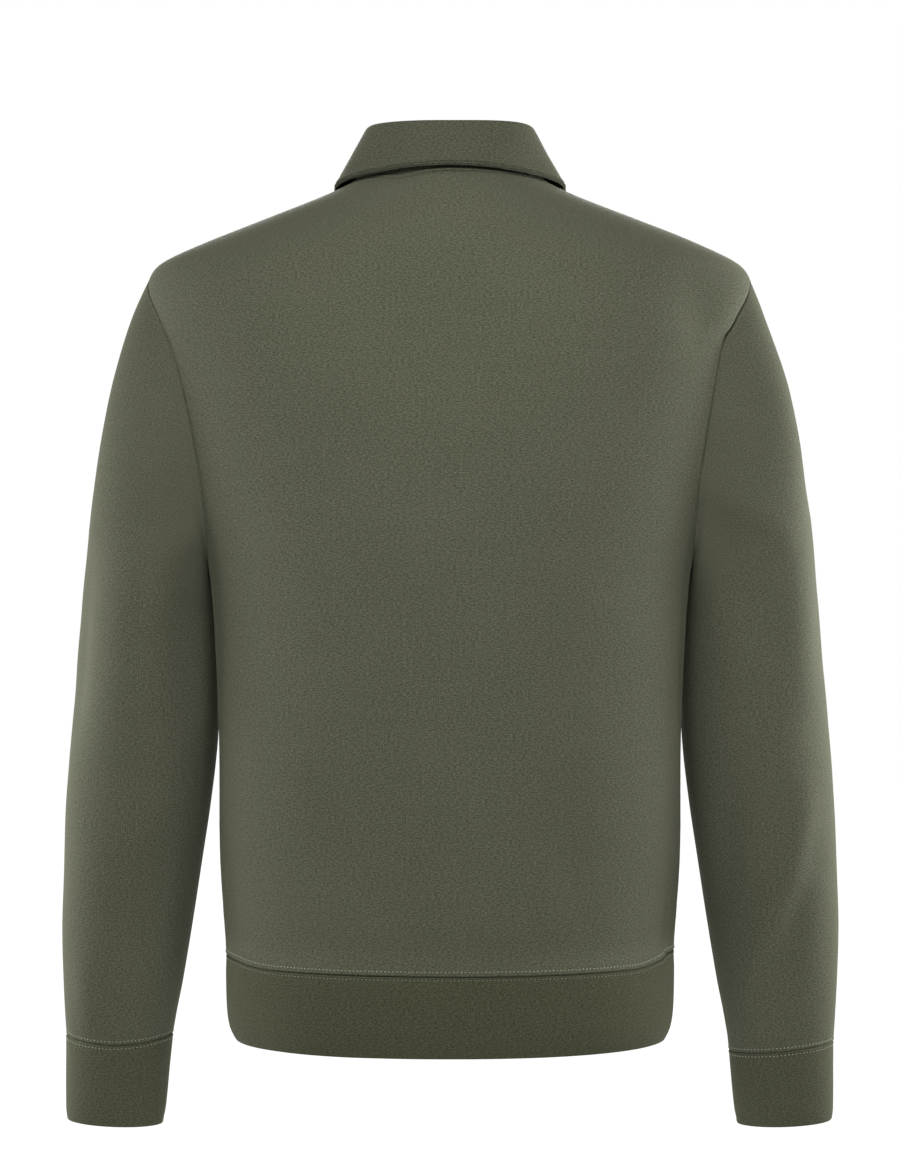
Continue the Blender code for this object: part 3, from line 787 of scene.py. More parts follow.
SLEEVE_FOLDS = {
    "left": table(
        Fold,
        (0.030, -0.270, 0.026, -0.450, 0.003, 0.018, -0.0046),
        (0.086, -0.265, 0.080, -0.455, 0.003, 0.027, 0.0056),
        (0.136, -0.275, 0.128, -0.445, 0.000, 0.022, -0.0052),
        (0.150, -0.262, 0.085, -0.300, 0.000, 0.013, 0.0018),
        (0.112, -0.490, 0.106, -0.640, 0.004, 0.026, -0.0048),
        (0.050, -0.590, 0.062, -0.668, 0.000, 0.016, 0.0020),
        (-0.040, -0.33, -0.120, -0.44, 0.010, 0.018, -0.0034),
        (-0.060, -0.28, -0.052, -0.43, -0.004, 0.022, 0.0034),
        (-0.030, -0.50, -0.110, -0.58, 0.008, 0.018, -0.0030),
    ),
    "right": table(
        Fold,
        (0.128, -0.226, 0.052, -0.282, 0.000, 0.013, 0.0034),
        (0.056, -0.070, 0.048, -0.270, 0.004, 0.020, 0.0040),
        (0.014, -0.070, 0.012, -0.260, 0.000, 0.016, -0.0028),
        (0.048, -0.240, 0.052, -0.420, 0.000, 0.020, 0.0042),
        (0.122, -0.235, 0.088, -0.370, 0.000, 0.024, -0.0052),
        (0.098, -0.330, 0.108, -0.410, 0.000, 0.016, 0.0018),
        (0.048, -0.455, 0.140, -0.655, 0.008, 0.013, 0.0058),
        (0.108, -0.440, 0.152, -0.600, 0.000, 0.020, -0.0052),
        (0.062, -0.540, 0.108, -0.664, 0.000, 0.015, -0.0038),
        (-0.050, -0.32, -0.130, -0.42, 0.010, 0.018, -0.0034),
        (-0.045, -0.42, -0.060, -0.55, 0.004, 0.020, 0.0030),
        (-0.020, -0.52, -0.100, -0.61, 0.008, 0.018, -0.0030),
    ),
}


def body_normal(x, height, side):
    """Direction square to the body's surface, outwards."""
    deep = body_depth(x, height, side)

    def level(across, reach, at):
        half_width, depth = at_height(BODY, "half_width", at), at_height(BODY, side, at)
        return (abs(across) / half_width) ** SQUARENESS + (abs(reach) / depth) ** SQUARENESS

    step = 0.0005
    normal = Vector(
        (
            level(x + step, deep, height) - level(x - step, deep, height),
            level(x, deep + step, height) - level(x, deep - step, height),
            level(x, deep, height + step) - level(x, deep, height - step),
        )
    ).normalized()
    return normal if side == "back" else Vector((normal.x, -normal.y, normal.z))


def armhole_point(turn, outset=0.0):
    """Point of the left armhole at a turn from its top, first towards the back, or that far outside it."""
    height = ARMHOLE_MIDDLE + (ARMHOLE_REACH + outset) * cos(turn)
    y = (ARMHOLE_DEPTH + outset) * sin(turn)
    return Vector((body_half_width(y, height), y, height))


def arm_point(sections, turn, height):
    """Point of the left sleeve or cuff at a turn from its outer side, first towards the back."""
    middle, shift, half_width, half_depth = (at_height(sections, column, height) for column in ArmSection._fields[1:])
    return Vector((middle + half_width * cos(turn), shift + half_depth * sin(turn), height))


def clear_of_body(point):
    """Moves a sleeve point outwards where it would lie in the body's side."""
    below = UNDERARM - point.z
    if below <= 0:
        return point
    clearance = CLEARANCE + min(below * CLEARANCE_SLOPE, CLEARANCE_ADDED)
    return Vector((max(point.x, body_half_width(point.y, point.z) + clearance), point.y, point.z))


@functools.lru_cache(None)
def strand(turn):
    """Control points of the curve from the armhole to the upper arm."""
    lower = max(-cos(turn), 0.0) ** 2
    fall = radians(SLEEVE_FALL - SLEEVE_SIDE_LIFT * sin(turn) ** 2 + SLEEVE_UNDERARM_FALL * lower)
    outwards = Vector((cos(fall), 0, -sin(fall)))
    start = armhole_point(turn) + ARMHOLE_GAP * outwards
    end = clear_of_body(arm_point(SLEEVE, turn, SLEEVE_TOP))
    downwards = (clear_of_body(arm_point(SLEEVE, turn, SLEEVE_TOP - 0.01)) - end).normalized()
    length = (end - start).length
    return start, start + outwards * length * SLEEVE_LEAVES_BODY, end - downwards * length * SLEEVE_JOINS_ARM, end


def along_curve(points, t):
    """Point of a curve at a fraction of the way through its control points."""
    start, first, second, end = points
    return (1 - t) ** 3 * start + 3 * t * (1 - t) ** 2 * first + 3 * t * t * (1 - t) * second + t**3 * end


def wrist_drift(side, turn):
    """How far each cuff's seam lies above or below its usual height, as its sleeve is a little twisted."""
    if side == "left":
        return LEFT_WRIST_RAISED - LEFT_WRIST_DIP * sin(turn) ** 2
    return RIGHT_WRIST_TILT * cos(turn) - RIGHT_WRIST_LOWERED


def wrist_point(side, turn, height, drift):
    """Point of an arm, lowered or raised by its drift, on the sleeve's sections or the cuff's."""
    level = height + wrist_drift(side, turn) * drift
    return arm_point(SLEEVE if level > SLEEVE[-1].height else CUFF, turn, level)


def sleeve_place(side, turn, row):
    """Place on the left sleeve, at a turn round it.

    Rows below nought are heights of the arm, those up to one climb the sleeve head, and the rest are the allowance.
    """
    if row < 0:
        return clear_of_body(wrist_point(side, turn, row, eased(1 - (row - SLEEVE_SEAM) / WRIST_TWISTED)))
    if row <= 1:
        return clear_of_body(along_curve(strand(turn), 1 - row))
    tuck = ALLOWANCE[round(row) - 2]
    point = armhole_point(turn, tuck.outset)
    return point - body_normal(point.x, point.z, "back" if point.y > 0 else "front") * tuck.depth


def hollow(distance, reach, depth):
    """A trough beside a seam, deepest at its reach."""
    return -depth * distance / reach * exp(1 - distance / reach) if distance > 0 else 0.0


def sleeve_rise(side):
    """Height of a sleeve's cloth: turned in at its seams, hollow beside the armhole, and folded down the arm."""

    def rise(spot):
        from_armhole = spot.above - ALLOWANCE_LENGTH
        if from_armhole < 0:
            return 0.0
        to_back = spot.column if side == "left" else -spot.column
        inner = abs(spot.column) / pi
        seam = min(spot.left, spot.right)
        ripple = eased(seam / RIPPLE_START)
        total = rolled(spot.below) + rolled(seam) * SIDE_SEAM_TURN + ridged(SLEEVE_RIDGES, spot.below)
        total += ripple * puckered(spot.below, spot.column * SLEEVE_RADIUS + 2, reach=0.012, depth=0.0005)
        total += ripple * puckered(from_armhole, spot.column * 0.1 + 4, depth=0.0003)
        depth = HOLLOW_DEPTH * eased(abs(spot.column) / 1.3 - 0.25) * (1 - 0.8 * inner**4)
        total += hollow(from_armhole, HOLLOW_REACH, depth * (HOLLOW_FRONT_SHARE if to_back < 0 else 1.0))
        calm = 1 - exp(-(((1 - inner) / 0.25) ** 2))
        total += calm * folded_by(SLEEVE_FOLDS[side], to_back * SLEEVE_RADIUS, spot.point.z)
        apart = Vector((0, 0.3 if side == "left" else 0.9, 0))
        return total + calm * eased(from_armhole / 0.04) * uneven(spot.point + apart, 0.0014)

    return rise


def on_arm(place, side):
    """Place on either arm: the right one's is the left's in a mirror, and runs the same way round."""

    def place_there(turn, row):
        if side == "left":
            return place(side, turn, row)
        point = place(side, -turn, row)
        return tucked(Vector((-point.x, point.y, point.z)))

    return place_there


sleeve_face = knitted("fleece_sleeve_face", OLIVE, 0.55)
sleeve_turns = stations(-pi, pi, CLOTH_STEP, scale=SLEEVE_RADIUS)
sleeve_rows = stations(SLEEVE_SEAM, SLEEVE_TOP, CLOTH_STEP, far=NO_SEAM)[:-1]
sleeve_rows += stations(0.0, 1.0, SLEEVE_HEAD_STEP, scale=SLEEVE_HEAD_LENGTH, near=NO_SEAM)
sleeve_rows += [2.0 + k for k in range(len(ALLOWANCE))]
sleeves = {}
for side in ("left", "right"):
    place, rise, finishes = on_arm(sleeve_place, side), sleeve_rise(side), (sleeve_face, inside)
    sleeve = cloth(f"sleeve_{side}_cloth", sleeve_turns, sleeve_rows, place, rise, finishes, around=True)
    worn(sleeve.object, f"sleeve_{side}")
    sleeves[side] = sleeve


# --------------------------------------
# Cuffs: a band of the fleece folded double, seamed into a ring under the arm and sewn to the sleeve's end, with a
# row of topstitching on either side of that seam.

CUFF_TOP = -0.66990
CUFF_END = -0.7366
CUFF_STITCH_BELOW = 0.0027
CUFF_RIDGES = table(Ridge, (0.0004, CUFF_STITCH_BELOW / 2, 0.0012), (-0.0003, CUFF_STITCH_BELOW, 0.0007))
CUFF_RADIUS = 0.038
CUFF_STEP = 0.0035
FOLDED_WALL = 0.0028
BAND_SEAM_TURN = 0.7
CUFF_OLIVE = ((0.0165, 0.0173, 0.0101, 1.0), (0.0311, 0.0321, 0.0210, 1.0))
CUFF_TILT = 0.0034
Stitch = namedtuple("Stitch", "length radius pitch")
SEAM_STITCH = Stitch(0.0011, 0.00032, 0.0030)
PALE_THREAD = ((0.1083, 0.1140, 0.0820, 1.0), (0.1881, 0.1938, 0.1482, 1.0))
# Thread darker than the cloth: partly the thread's own colour, partly painted shade of the channels these stitches lie
# in.
CHANNEL_SHADE_THREAD = ((0.0080, 0.0085, 0.0050, 1.0), (0.0150, 0.0155, 0.0100, 1.0))


def folded_rows(top, end, step, wall=FOLDED_WALL):
    """Rows of a band folded double, each an inset and a height: down its inner layer, round the fold, up the outer."""
    radius = wall / 2
    inner = [(wall, height) for height in stations(top, end + radius, step, far=NO_SEAM)]
    turns = [pi * k / 8 for k in range(1, 8)]
    fold = [(radius + radius * cos(turn), end + radius - radius * sin(turn)) for turn in turns]
    outer = [(0.0, height) for height in stations(end + radius, top, step, near=NO_SEAM)]
    rim = [(radius, top)]
    return rim + inner + fold + outer + rim


def inset_from(section, turn, row):
    """A point inside the surface that a section gives, square to it in plan."""
    inset, height = row
    step = 0.002
    along = section(turn + step, height) - section(turn - step, height)
    return section(turn, height) - Vector((along.y, -along.x, 0)).normalized() * inset


def band_rise(ridges, loose, ripple, turn=0.0012):
    """Outer layer of a band: drawn in at its seam, with a soft channel where each row of stitches lies."""

    def rise(spot):
        inset, height = spot.row
        if inset > FOLDED_WALL / 4:
            return 0.0
        below = max(spot.above - FOLDED_WALL / 2, 0.0)
        seam = min(spot.left, spot.right)
        total = rolled(below, turn) * BAND_SEAM_TURN + rolled(seam) * SIDE_SEAM_TURN + ridged(ridges, below)
        total += eased(seam / RIPPLE_START) * puckered(below, spot.left + 6, reach=0.014, depth=ripple)
        return total + uneven(spot.point + Vector((0.4, 0, 0)), loose)

    return rise


def line_beside(piece, edge, distance):
    """Points and normals along a piece of cloth, at a distance from one of its edges."""
    grid = [list(zip(*row)) for row in zip(piece.spots, piece.points, piece.normals)]
    line = []
    for run in zip(*grid) if edge in ("below", "above") else grid:
        for (spot, point, normal), (next_spot, next_point, next_normal) in zip(run, run[1:]):
            short = getattr(spot, edge) - distance
            past = getattr(next_spot, edge) - distance
            if short * past <= 0 and short != past:
                t = short / (short - past)
                line.append((point.lerp(next_point, t), normal.lerp(next_normal, t).normalized()))
                break
    return line


def sewn(name, lines, stitch, finish):
    """Rows of stitches lying along lines on the cloth, each a short bead of thread drawn down at its ends."""
    bm = bmesh.new()
    for line in lines:
        travelled = 0.0
        for (start, normal), (end, _) in zip(line, line[1:]):
            length = (end - start).length
            if length < 1e-7:
                continue
            along = (end - start).normalized()
            side = normal.cross(along).normalized()
            up = along.cross(side)
            while travelled < length:
                size = Matrix((along * stitch.length / 2, side * stitch.radius, up * stitch.radius)).transposed()
                matrix = Matrix.Translation(start + along * travelled) @ size.to_4x4()
                bmesh.ops.create_icosphere(bm, subdivisions=1, radius=1.0, matrix=matrix)
                travelled += stitch.pitch
            travelled -= length
    made = made_from(bm, name, finish)
    made.data.shade_smooth()
    worn(made)
    return made


def spun(name, shades):
    """Sewing thread, mottled between a dark and a light shade."""
    finish = Finish(name)
    ply = finish.cloud(finish.object_place(), 2600.0, 1.0)
    return finish.fill_shader({"Base Color": finish.mix(ply, *shades), "Roughness": 0.6})


thread = spun("sewing_thread", PALE_THREAD)
# This thread's darkness is partly painted shade of the stitch channels at the collar, neck and placket.
channel_shade_thread = spun("channel_shade_thread", CHANNEL_SHADE_THREAD)

cuff_face = knitted("cuff_face", CUFF_OLIVE, 0.30)
cuff_rows = folded_rows(CUFF_TOP, CUFF_END, CUFF_STEP)
cuff_turns = stations(-pi, pi, CUFF_STEP, scale=CUFF_RADIUS)
cuff_rise = band_rise(CUFF_RIDGES, 0.0007, 0.0005)


def cuff_place(side, turn, row):
    """The cuff's seam drifts as the sleeve's does, and its end hangs lower on the inner side of the arm."""
    inset, height = row
    up = (height - CUFF_END) / (CUFF_TOP - CUFF_END)
    level = height + wrist_drift(side, turn) * up - CUFF_TILT * (1 - cos(turn)) / 2 * (1 - up)
    point = inset_from(lambda at, _: arm_point(CUFF, at, level), turn, (inset, level))
    return Vector((point.x, point.y, level))


for side in ("left", "right"):
    place = on_arm(cuff_place, side)
    cuff = cloth(f"cuff_{side}_cloth", cuff_turns, cuff_rows, place, cuff_rise, (cuff_face,), around=True, folded=True)
    worn(cuff.object, f"cuff_{side}")
    sleeve = sleeves[side]
    above_seam = line_beside(sleeve, "below", CUFF_STITCH_ABOVE)
    below_seam = line_beside(cuff, "above", CUFF_STITCH_BELOW + FOLDED_WALL / 2)
    sleeve_stitches = sewn(f"sleeve_{side}_stitches", [above_seam], SEAM_STITCH, thread)
    cuff_stitches = sewn(f"cuff_{side}_stitches", [below_seam], SEAM_STITCH, thread)


# --------------------------------------
# Hem band: the same fleece folded double and seamed into a ring at the wearer's right side, then sewn to the
# panels and topstitched on either side of the seam.

BAND = table(
    BodySection,
    (-0.602, 0.1742, 0.1180, 0.1135),
    (-0.615, 0.1748, 0.1190, 0.1140),
    (-0.642, 0.1738, 0.1190, 0.1140),
    (-0.655, 0.1714, 0.1172, 0.1122),
    (-0.6625, 0.1675, 0.1145, 0.1095),
)
BAND_TOP = -0.60215
BAND_END = -0.6633
HEM_OLIVE = ((0.0143, 0.0150, 0.0082, 1.0), (0.0270, 0.0277, 0.0171, 1.0))
HEM_STITCH_BELOW = 0.0022
BAND_RIDGES = table(Ridge, (0.0004, HEM_STITCH_BELOW / 2, 0.0012), (-0.0003, HEM_STITCH_BELOW, 0.0007))
BAND_RADIUS = 0.148
BAND_STEP = 0.0036
DULL_THREAD = ((0.0560, 0.0588, 0.0420, 1.0), (0.0980, 0.1010, 0.0770, 1.0))
HEM_STITCH = Stitch(0.0011, 0.00030, 0.0030)
NECK_TOPSTITCH = Stitch(0.0023, 0.00016, 0.0026)


def band_section(turn, height):
    """Point of the band's outer side, at a turn round it and a height."""
    y = squared(sin(turn))
    depth = at_height(BAND, "back" if y > 0 else "front", height)
    return Vector((at_height(BAND, "half_width", height) * squared(cos(turn)), y * depth, height))


def band_place(turn, row):
    """The band's seam is drawn up at the sides as the panels are."""
    point = inset_from(band_section, turn, row)
    up = (row[1] - BAND_END) / (BAND_TOP - BAND_END)
    return point + Vector((0, 0, hem_drift(point) * up))


band_face = knitted("hem_band_face", HEM_OLIVE, 0.30)
band_turns = stations(pi, 3 * pi, CLOTH_STEP, scale=BAND_RADIUS)
band_rows = folded_rows(BAND_TOP, BAND_END, BAND_STEP)
rise = band_rise(BAND_RIDGES, 0.0008, 0.0004, HEM_TURN)
hem_band = cloth("hem_band_cloth", band_turns, band_rows, band_place, rise, (band_face,), around=True, folded=True)
worn(hem_band.object, "hem_band")

dull_thread = spun("dull_thread", DULL_THREAD)
back_line = line_beside(back, "below", HEM_STITCH_ABOVE)
front_line = line_beside(front, "below", HEM_STITCH_ABOVE)
band_line = line_beside(hem_band, "above", HEM_STITCH_BELOW + FOLDED_WALL / 2)
neck_line = line_beside(back, "above", NECK_STITCH)
neck_line = [(point, normal) for point, normal in neck_line if abs(point.x) < NECK_HALF_WIDTH]
hem_back_stitches = sewn("hem_back_stitches", [back_line], HEM_STITCH, thread)
hem_front_stitches = sewn("hem_front_stitches", [front_line], HEM_STITCH, thread)
band_stitches = sewn("hem_band_stitches", [band_line], HEM_STITCH, dull_thread)
neck_stitches = sewn("neck_stitches", [neck_line], NECK_TOPSTITCH, channel_shade_thread)


# --------------------------------------
# Collar: two layers of the fleece, sewn round three sides, turned out, topstitched near the edge, and set into
# the neckline. It stands round the neck, folds over and falls as a leaf down to a point on either side of the chest.

COLLAR_OLIVE = ((0.0169, 0.0176, 0.0111, 1.0), (0.0308, 0.0316, 0.0219, 1.0))
COLLAR_WALL = 0.0012
COLLAR_LAYER_GAP = 0.0005
COLLAR_SEAM_INSET = 0.0018
FOLD_RADIUS = 0.0045
FOLD_HEIGHT = 0.041
FOLD_HALF_WIDTH = 0.0662
FOLD_CENTRE = 0.012
FOLD_BACK = 0.0525
FOLD_FRONT = 0.0925
FOLD_FRONT_DROP = 0.093
FOLD_SQUARENESS = 3.0
LEAF_BACK = 0.0785
LEAF_BACK_HEIGHT = 0.0056
LEAF_SIDE = (0.0892, -0.0044)
LEAF_FRONT_BOW = (0.096, -0.062)
LEAF_POINT = (0.052, -0.122)
LEAF_LIFT = 0.0027
LEAF_FRONT_LIFT = 0.0080
LEAF_BULGE = 0.006
LEAF_EDGE_SWEEP = 1.5
COLLAR_END_GAP = 0.0012
EDGE_RADIUS = 0.0012
EDGE_RETURN = 0.003
COLLAR_STITCH = 0.0028
COLLAR_EDGE_SEAM = 0.0009
COLLAR_ALLOWANCE = 0.010
COLLAR_BASE_HEIGHT = 0.0003
COLLAR_RADIUS = 0.095
COLLAR_STEP = 0.0036
LEAF_LENGTH = 0.045
LEAF_STEP = 0.0030
UNDER_SHORTER = 0.0025
UNDER_STEP = 0.0045
END_TURN = 0.0014
END_DEPTH = 0.0016
LEAF_RIDGES = table(Ridge, (0.0004, 0.0043, 0.0009), (-0.0011, COLLAR_STITCH, 0.0005))
EDGE_RIDGES = table(Ridge, (-0.0008, COLLAR_EDGE_SEAM, 0.0003), (0.0003, 0.00185, 0.0004))
END_RIDGE = table(Ridge, (0.0004, 0.0045, 0.0008))
END_RIDGE_START = 0.004
STAND_SHARE = 0.3
END_STITCH = 0.0030
COLLAR_TOPSTITCH = Stitch(0.0023, 0.00018, 0.0026)
COLLAR_FOLDS = table(
    Fold,
    (-0.030, 0.030, -0.012, 0.004, 0.003, 0.010, 0.0008),
    (0.045, 0.034, 0.060, 0.002, 0.003, 0.012, -0.0009),
    (-0.075, 0.030, -0.055, -0.004, 0.002, 0.012, -0.0008),
    (0.012, 0.036, 0.020, 0.010, -0.003, 0.012, -0.0006),
)
LEAF_EDGE_STEPS = (0.0, 0.0003, 0.0006, 0.0009, 0.0012, 0.0016, 0.0022, 0.0032, 0.0046)
Bones = namedtuple("Bones", "base inner centre outward turned leaf down out")
UP = Vector((0, 0, 1))


def on_body(x, height, side, lift):
    """A point of the body's surface, moved out square to it."""
    depth = body_depth(x, height, side)
    point = Vector((x, depth if side == "back" else -depth, height))
    return point + body_normal(x, height, side) * lift


def neck_seam_point(angle):
    """Point of the left half of the neck seam, at an angle from the centre back."""
    x = NECK_HALF_WIDTH * sin(angle)
    if cos(angle) > 0:
        return Vector((x, body_depth(x, 0, "back"), BACK_NECK_RISE * cos(angle) ** 2))
    height = -FRONT_NECK_DROP * abs(cos(angle))
    return Vector((x, -body_depth(x, height, "front"), height))


def fold_point(angle):
    """Outer side of the collar's fold, half its thickness below the top."""
    behind = cos(angle) > 0
    height = FOLD_HEIGHT - FOLD_RADIUS - (0.0 if behind else FOLD_FRONT_DROP * abs(cos(angle)))
    x = FOLD_HALF_WIDTH * squared(sin(angle), FOLD_SQUARENESS)
    reach = FOLD_BACK if behind else FOLD_FRONT
    return Vector((x, FOLD_CENTRE + reach * squared(cos(angle), FOLD_SQUARENESS), height))


def leaf_point(angle):
    """Free edge of the leaf: an oval behind the neck, and a bow down to the collar point on the chest."""
    t = max(angle / (pi / 2) - 1, 0.0)
    bow = zip(LEAF_SIDE, LEAF_FRONT_BOW, LEAF_POINT)
    x, height = ((1 - t) ** 2 * start + 2 * t * (1 - t) * middle + t * t * end for start, middle, end in bow)
    point = on_body(x, height, "front", LEAF_LIFT + LEAF_FRONT_LIFT * sqrt(t))
    if t > 0:
        return point
    fall = (LEAF_BACK_HEIGHT - point.z) * sin(angle) ** LEAF_EDGE_SWEEP
    return Vector((point.x * sin(angle), LEAF_BACK * cos(angle), LEAF_BACK_HEIGHT - fall))


def along_edge(edge_point, angle):
    """Direction in which an edge of the collar runs at an angle from the centre back."""
    return edge_point(min(angle + 0.01, pi)) - edge_point(max(angle - 0.01, 0.0))


@functools.lru_cache(None)
def collar_bones(angle):
    """What the collar's cross-section hangs on, at an angle from the centre back."""
    along = along_edge(fold_point, angle)
    outward = Vector((-along.y, along.x, 0)).normalized() if angle else Vector((0, 1, 0))
    centre = fold_point(angle) - FOLD_RADIUS * outward
    inset = COLLAR_SEAM_INSET + 2 * COLLAR_WALL + COLLAR_LAYER_GAP
    base = neck_seam_point(angle) - inset * outward + COLLAR_BASE_HEIGHT * UP
    edge = leaf_point(angle)
    push = outward * LEAF_BULGE * max(-cos(angle), 0.0)
    chord = edge - centre
    turned = pi - atan2(chord.z, chord.dot(outward)) - acos(FOLD_RADIUS / chord.length)
    start = centre + FOLD_RADIUS * (sin(turned) * UP - cos(turned) * outward)
    down = ((edge - start) / 3 - push).normalized()
    edge -= down * EDGE_RADIUS
    third = (edge - start) / 3
    out = (along_edge(leaf_point, angle) if angle >= 0.01 else Vector((1, 0, 0))).cross(down).normalized()
    leaf = (start, start + third + push, edge - third + push, edge)
    return Bones(base, centre - FOLD_RADIUS * outward, centre, outward, turned, leaf, down, out)


def collar_place(angle, row):
    """Place on either layer of the collar, at an angle from the centre back.

    Rows up to nought are the allowance; then each one in turn is the stand, the fold, the leaf, its edge and return.
    """
    bones = collar_bones(abs(angle))
    edge = bones.leaf[3]
    if row < 0:
        point = bones.base + row * COLLAR_ALLOWANCE * UP
    elif row < 1:
        point = bones.base.lerp(bones.inner, row)
    elif row < 2:
        turn = bones.turned * (row - 1)
        point = bones.centre + FOLD_RADIUS * (sin(turn) * UP - cos(turn) * bones.outward)
    elif row <= 3:
        point = along_curve(bones.leaf, row - 2)
    elif row <= 4:
        turn = pi * (row - 3)
        point = edge + EDGE_RADIUS * (sin(turn) * bones.down - (1 - cos(turn)) * bones.out)
    else:
        point = edge - 2 * EDGE_RADIUS * bones.out - (row - 4) * EDGE_RETURN * bones.down
    return Vector((-point.x, point.y, point.z)) if angle < 0 else point


def collar_rise(spot):
    """Topstitched edge of the leaf: a round lip, a channel where the stitches lie, and a soft ridge above them."""
    end = min(spot.left, spot.right)
    total = rolled(end, END_TURN, END_DEPTH)
    if spot.row <= 1:
        return total * STAND_SHARE
    from_edge = spot.above - EDGE_RETURN - pi * EDGE_RADIUS / 2
    if 2 <= spot.row <= 3.01:
        total += ridged(LEAF_RIDGES, from_edge)
    if spot.row > 2:
        total += ridged(EDGE_RIDGES, from_edge) + puckered(from_edge, spot.left + 8, reach=0.008, depth=0.0003)
    if end > END_RIDGE_START:
        total += ridged(END_RIDGE, end)
    if 1 < spot.row <= 3:
        total += uneven(spot.point + Vector((0.7, 0, 0)), 0.0008)
        if spot.point.y > 0:
            total += folded_by(COLLAR_FOLDS, spot.point.x, spot.point.z)
    return total


collar_face = knitted("collar_face", COLLAR_OLIVE, 0.10)
collar_end = pi - COLLAR_END_GAP / FOLD_HALF_WIDTH
collar_turns = stations(-collar_end, collar_end, COLLAR_STEP, scale=COLLAR_RADIUS)
collar_rows = [-1.0, -0.5] + [k / 10 for k in range(10)] + [1 + k / 12 for k in range(12)]
collar_rows += [2 + t for t in stations(0.0, 1.0, LEAF_STEP, scale=LEAF_LENGTH, near=NO_SEAM, far=LEAF_EDGE_STEPS)]
collar_rows += [3 + k / 14 for k in range(1, 15)] + [4.5, 5.0]
collar_upper = cloth(
    "collar_upper_cloth", collar_turns, collar_rows, collar_place, collar_rise, (collar_face,), wall=COLLAR_WALL
)
worn(collar_upper.object, "collar_upper")

under_end = collar_end - UNDER_SHORTER / COLLAR_RADIUS
collar_under = cloth(
    "collar_under_cloth",
    stations(-under_end, under_end, UNDER_STEP, scale=COLLAR_RADIUS, near=NO_SEAM, far=NO_SEAM),
    [-1.0, -0.5] + [k / 8 for k in range(8)] + [1 + k / 10 for k in range(10)] + [2 + 0.93 * k / 12 for k in range(13)],
    collar_place,
    lambda spot: collar_rise(spot) if spot.row > 1 else 0.0,
    (inside, collar_face),
    wall=COLLAR_WALL,
    sunk=COLLAR_WALL + COLLAR_LAYER_GAP,
)
worn(collar_under.object, "collar_under")

returned = EDGE_RETURN + pi * EDGE_RADIUS / 2
collar_lines = [line_beside(collar_upper, "above", returned + step) for step in (COLLAR_STITCH, COLLAR_EDGE_SEAM)]
leaf_start, leaf_end = (next(k for k, row in enumerate(collar_rows) if row >= end) for end in (2.05, 2.93))
for edge in ("left", "right"):
    collar_lines.append(line_beside(collar_upper, edge, END_STITCH)[leaf_start:leaf_end])
collar_stitches = sewn("collar_stitches", collar_lines, COLLAR_TOPSTITCH, channel_shade_thread)


# --------------------------------------
# Placket: two facings of the fleece, one over the slit and one under it, each folded in at its sides, edge
# stitched, and closed across the foot with a stitched box. The upper one has an upright buttonhole for each button.

PLACKET_GAP = 0.0006
PLACKET_LIFT = WALL + PLACKET_GAP
PLACKET_LENGTH = 0.118
PLACKET_HALF_WIDTH = 0.016
PLACKET_STEPS = (0.0009, 0.0018)
UNDER_PLACKET_HALF_WIDTH = 0.014
UNDER_PLACKET_STEPS = (0.0020, 0.0040)
UNDER_PLACKET_TURN = 0.5
UNDER_PLACKET_RAISED = 0.0003
PLACKET_STITCH = 0.0022
BUTTON_HEIGHTS = (-0.102, -0.156)
BUTTONHOLE_HALF = 0.0072
BOX_HEIGHT = 0.028
BUTTONHOLE_WIDTH = 0.0007
BUTTONHOLE_SIDE = 0.0009
BUTTONHOLE_DEPTH = 0.0006
BUTTONHOLE_SUNK = 0.0001
BUTTONHOLE_BARS = 8
SIDE_RIDGES = table(Ridge, (0.0004, 0.0040, 0.0014), (-0.0003, PLACKET_STITCH, 0.0007))
FOOT_RIDGES = table(Ridge, (0.0003, 0.0040, 0.0014), (-0.0003, PLACKET_STITCH, 0.0007), (-0.0004, BOX_HEIGHT, 0.0009))
PLACKET_TOPSTITCH = Stitch(0.0020, 0.00018, 0.0027)
BUTTONHOLE_STITCH = Stitch(0.0006, 0.00055, 0.00042)
OLIVE_THREAD = ((0.0210, 0.0222, 0.0145, 1.0), (0.0400, 0.0412, 0.0290, 1.0))


def placket_place(lift, foot):
    """Place on a facing: across in metres from the centre front, and up from its foot as a fraction."""

    def place(x, row):
        neckline = -FRONT_NECK_DROP * sqrt(1 - (x / NECK_HALF_WIDTH) ** 2) - PLACKET_GAP
        return on_body(x, foot + (neckline - foot) * row, "front", lift)

    return place


def placket_rise(spot):
    """The upper facing is turned in at its sides and foot, stitched, and dented along each buttonhole."""
    side = min(spot.left, spot.right)
    total = rolled(side) + rolled(spot.below) + ridged(SIDE_RIDGES, side) + ridged(FOOT_RIDGES, spot.below)
    for height in BUTTON_HEIGHTS:
        beyond = max(abs(spot.point.z - height) - BUTTONHOLE_HALF, 0.0) / BUTTONHOLE_DEPTH
        total -= BUTTONHOLE_DEPTH * exp(-((spot.column / BUTTONHOLE_WIDTH) ** 2) - beyond**2)
    return total + puckered(side, spot.point.z + 5, reach=0.006, depth=0.0002)


placket_upper = cloth(
    "placket_upper_cloth",
    stations(-PLACKET_HALF_WIDTH, PLACKET_HALF_WIDTH, PLACKET_STEPS[0]),
    stations(0.0, 1.0, PLACKET_STEPS[1], scale=PLACKET_LENGTH, far=NO_SEAM),
    placket_place(PLACKET_LIFT, PLACKET_BOTTOM),
    placket_rise,
    (face, inside),
)
worn(placket_upper.object, "placket_upper")
placket_under = cloth(
    "placket_under_cloth",
    stations(-UNDER_PLACKET_HALF_WIDTH, UNDER_PLACKET_HALF_WIDTH, UNDER_PLACKET_STEPS[0]),
    stations(0.0, 1.0, UNDER_PLACKET_STEPS[1], scale=PLACKET_LENGTH),
    placket_place(-PLACKET_LIFT, PLACKET_BOTTOM + UNDER_PLACKET_RAISED),
    lambda spot: rolled(min(spot.left, spot.right)) * UNDER_PLACKET_TURN,
    (face, inside),
)
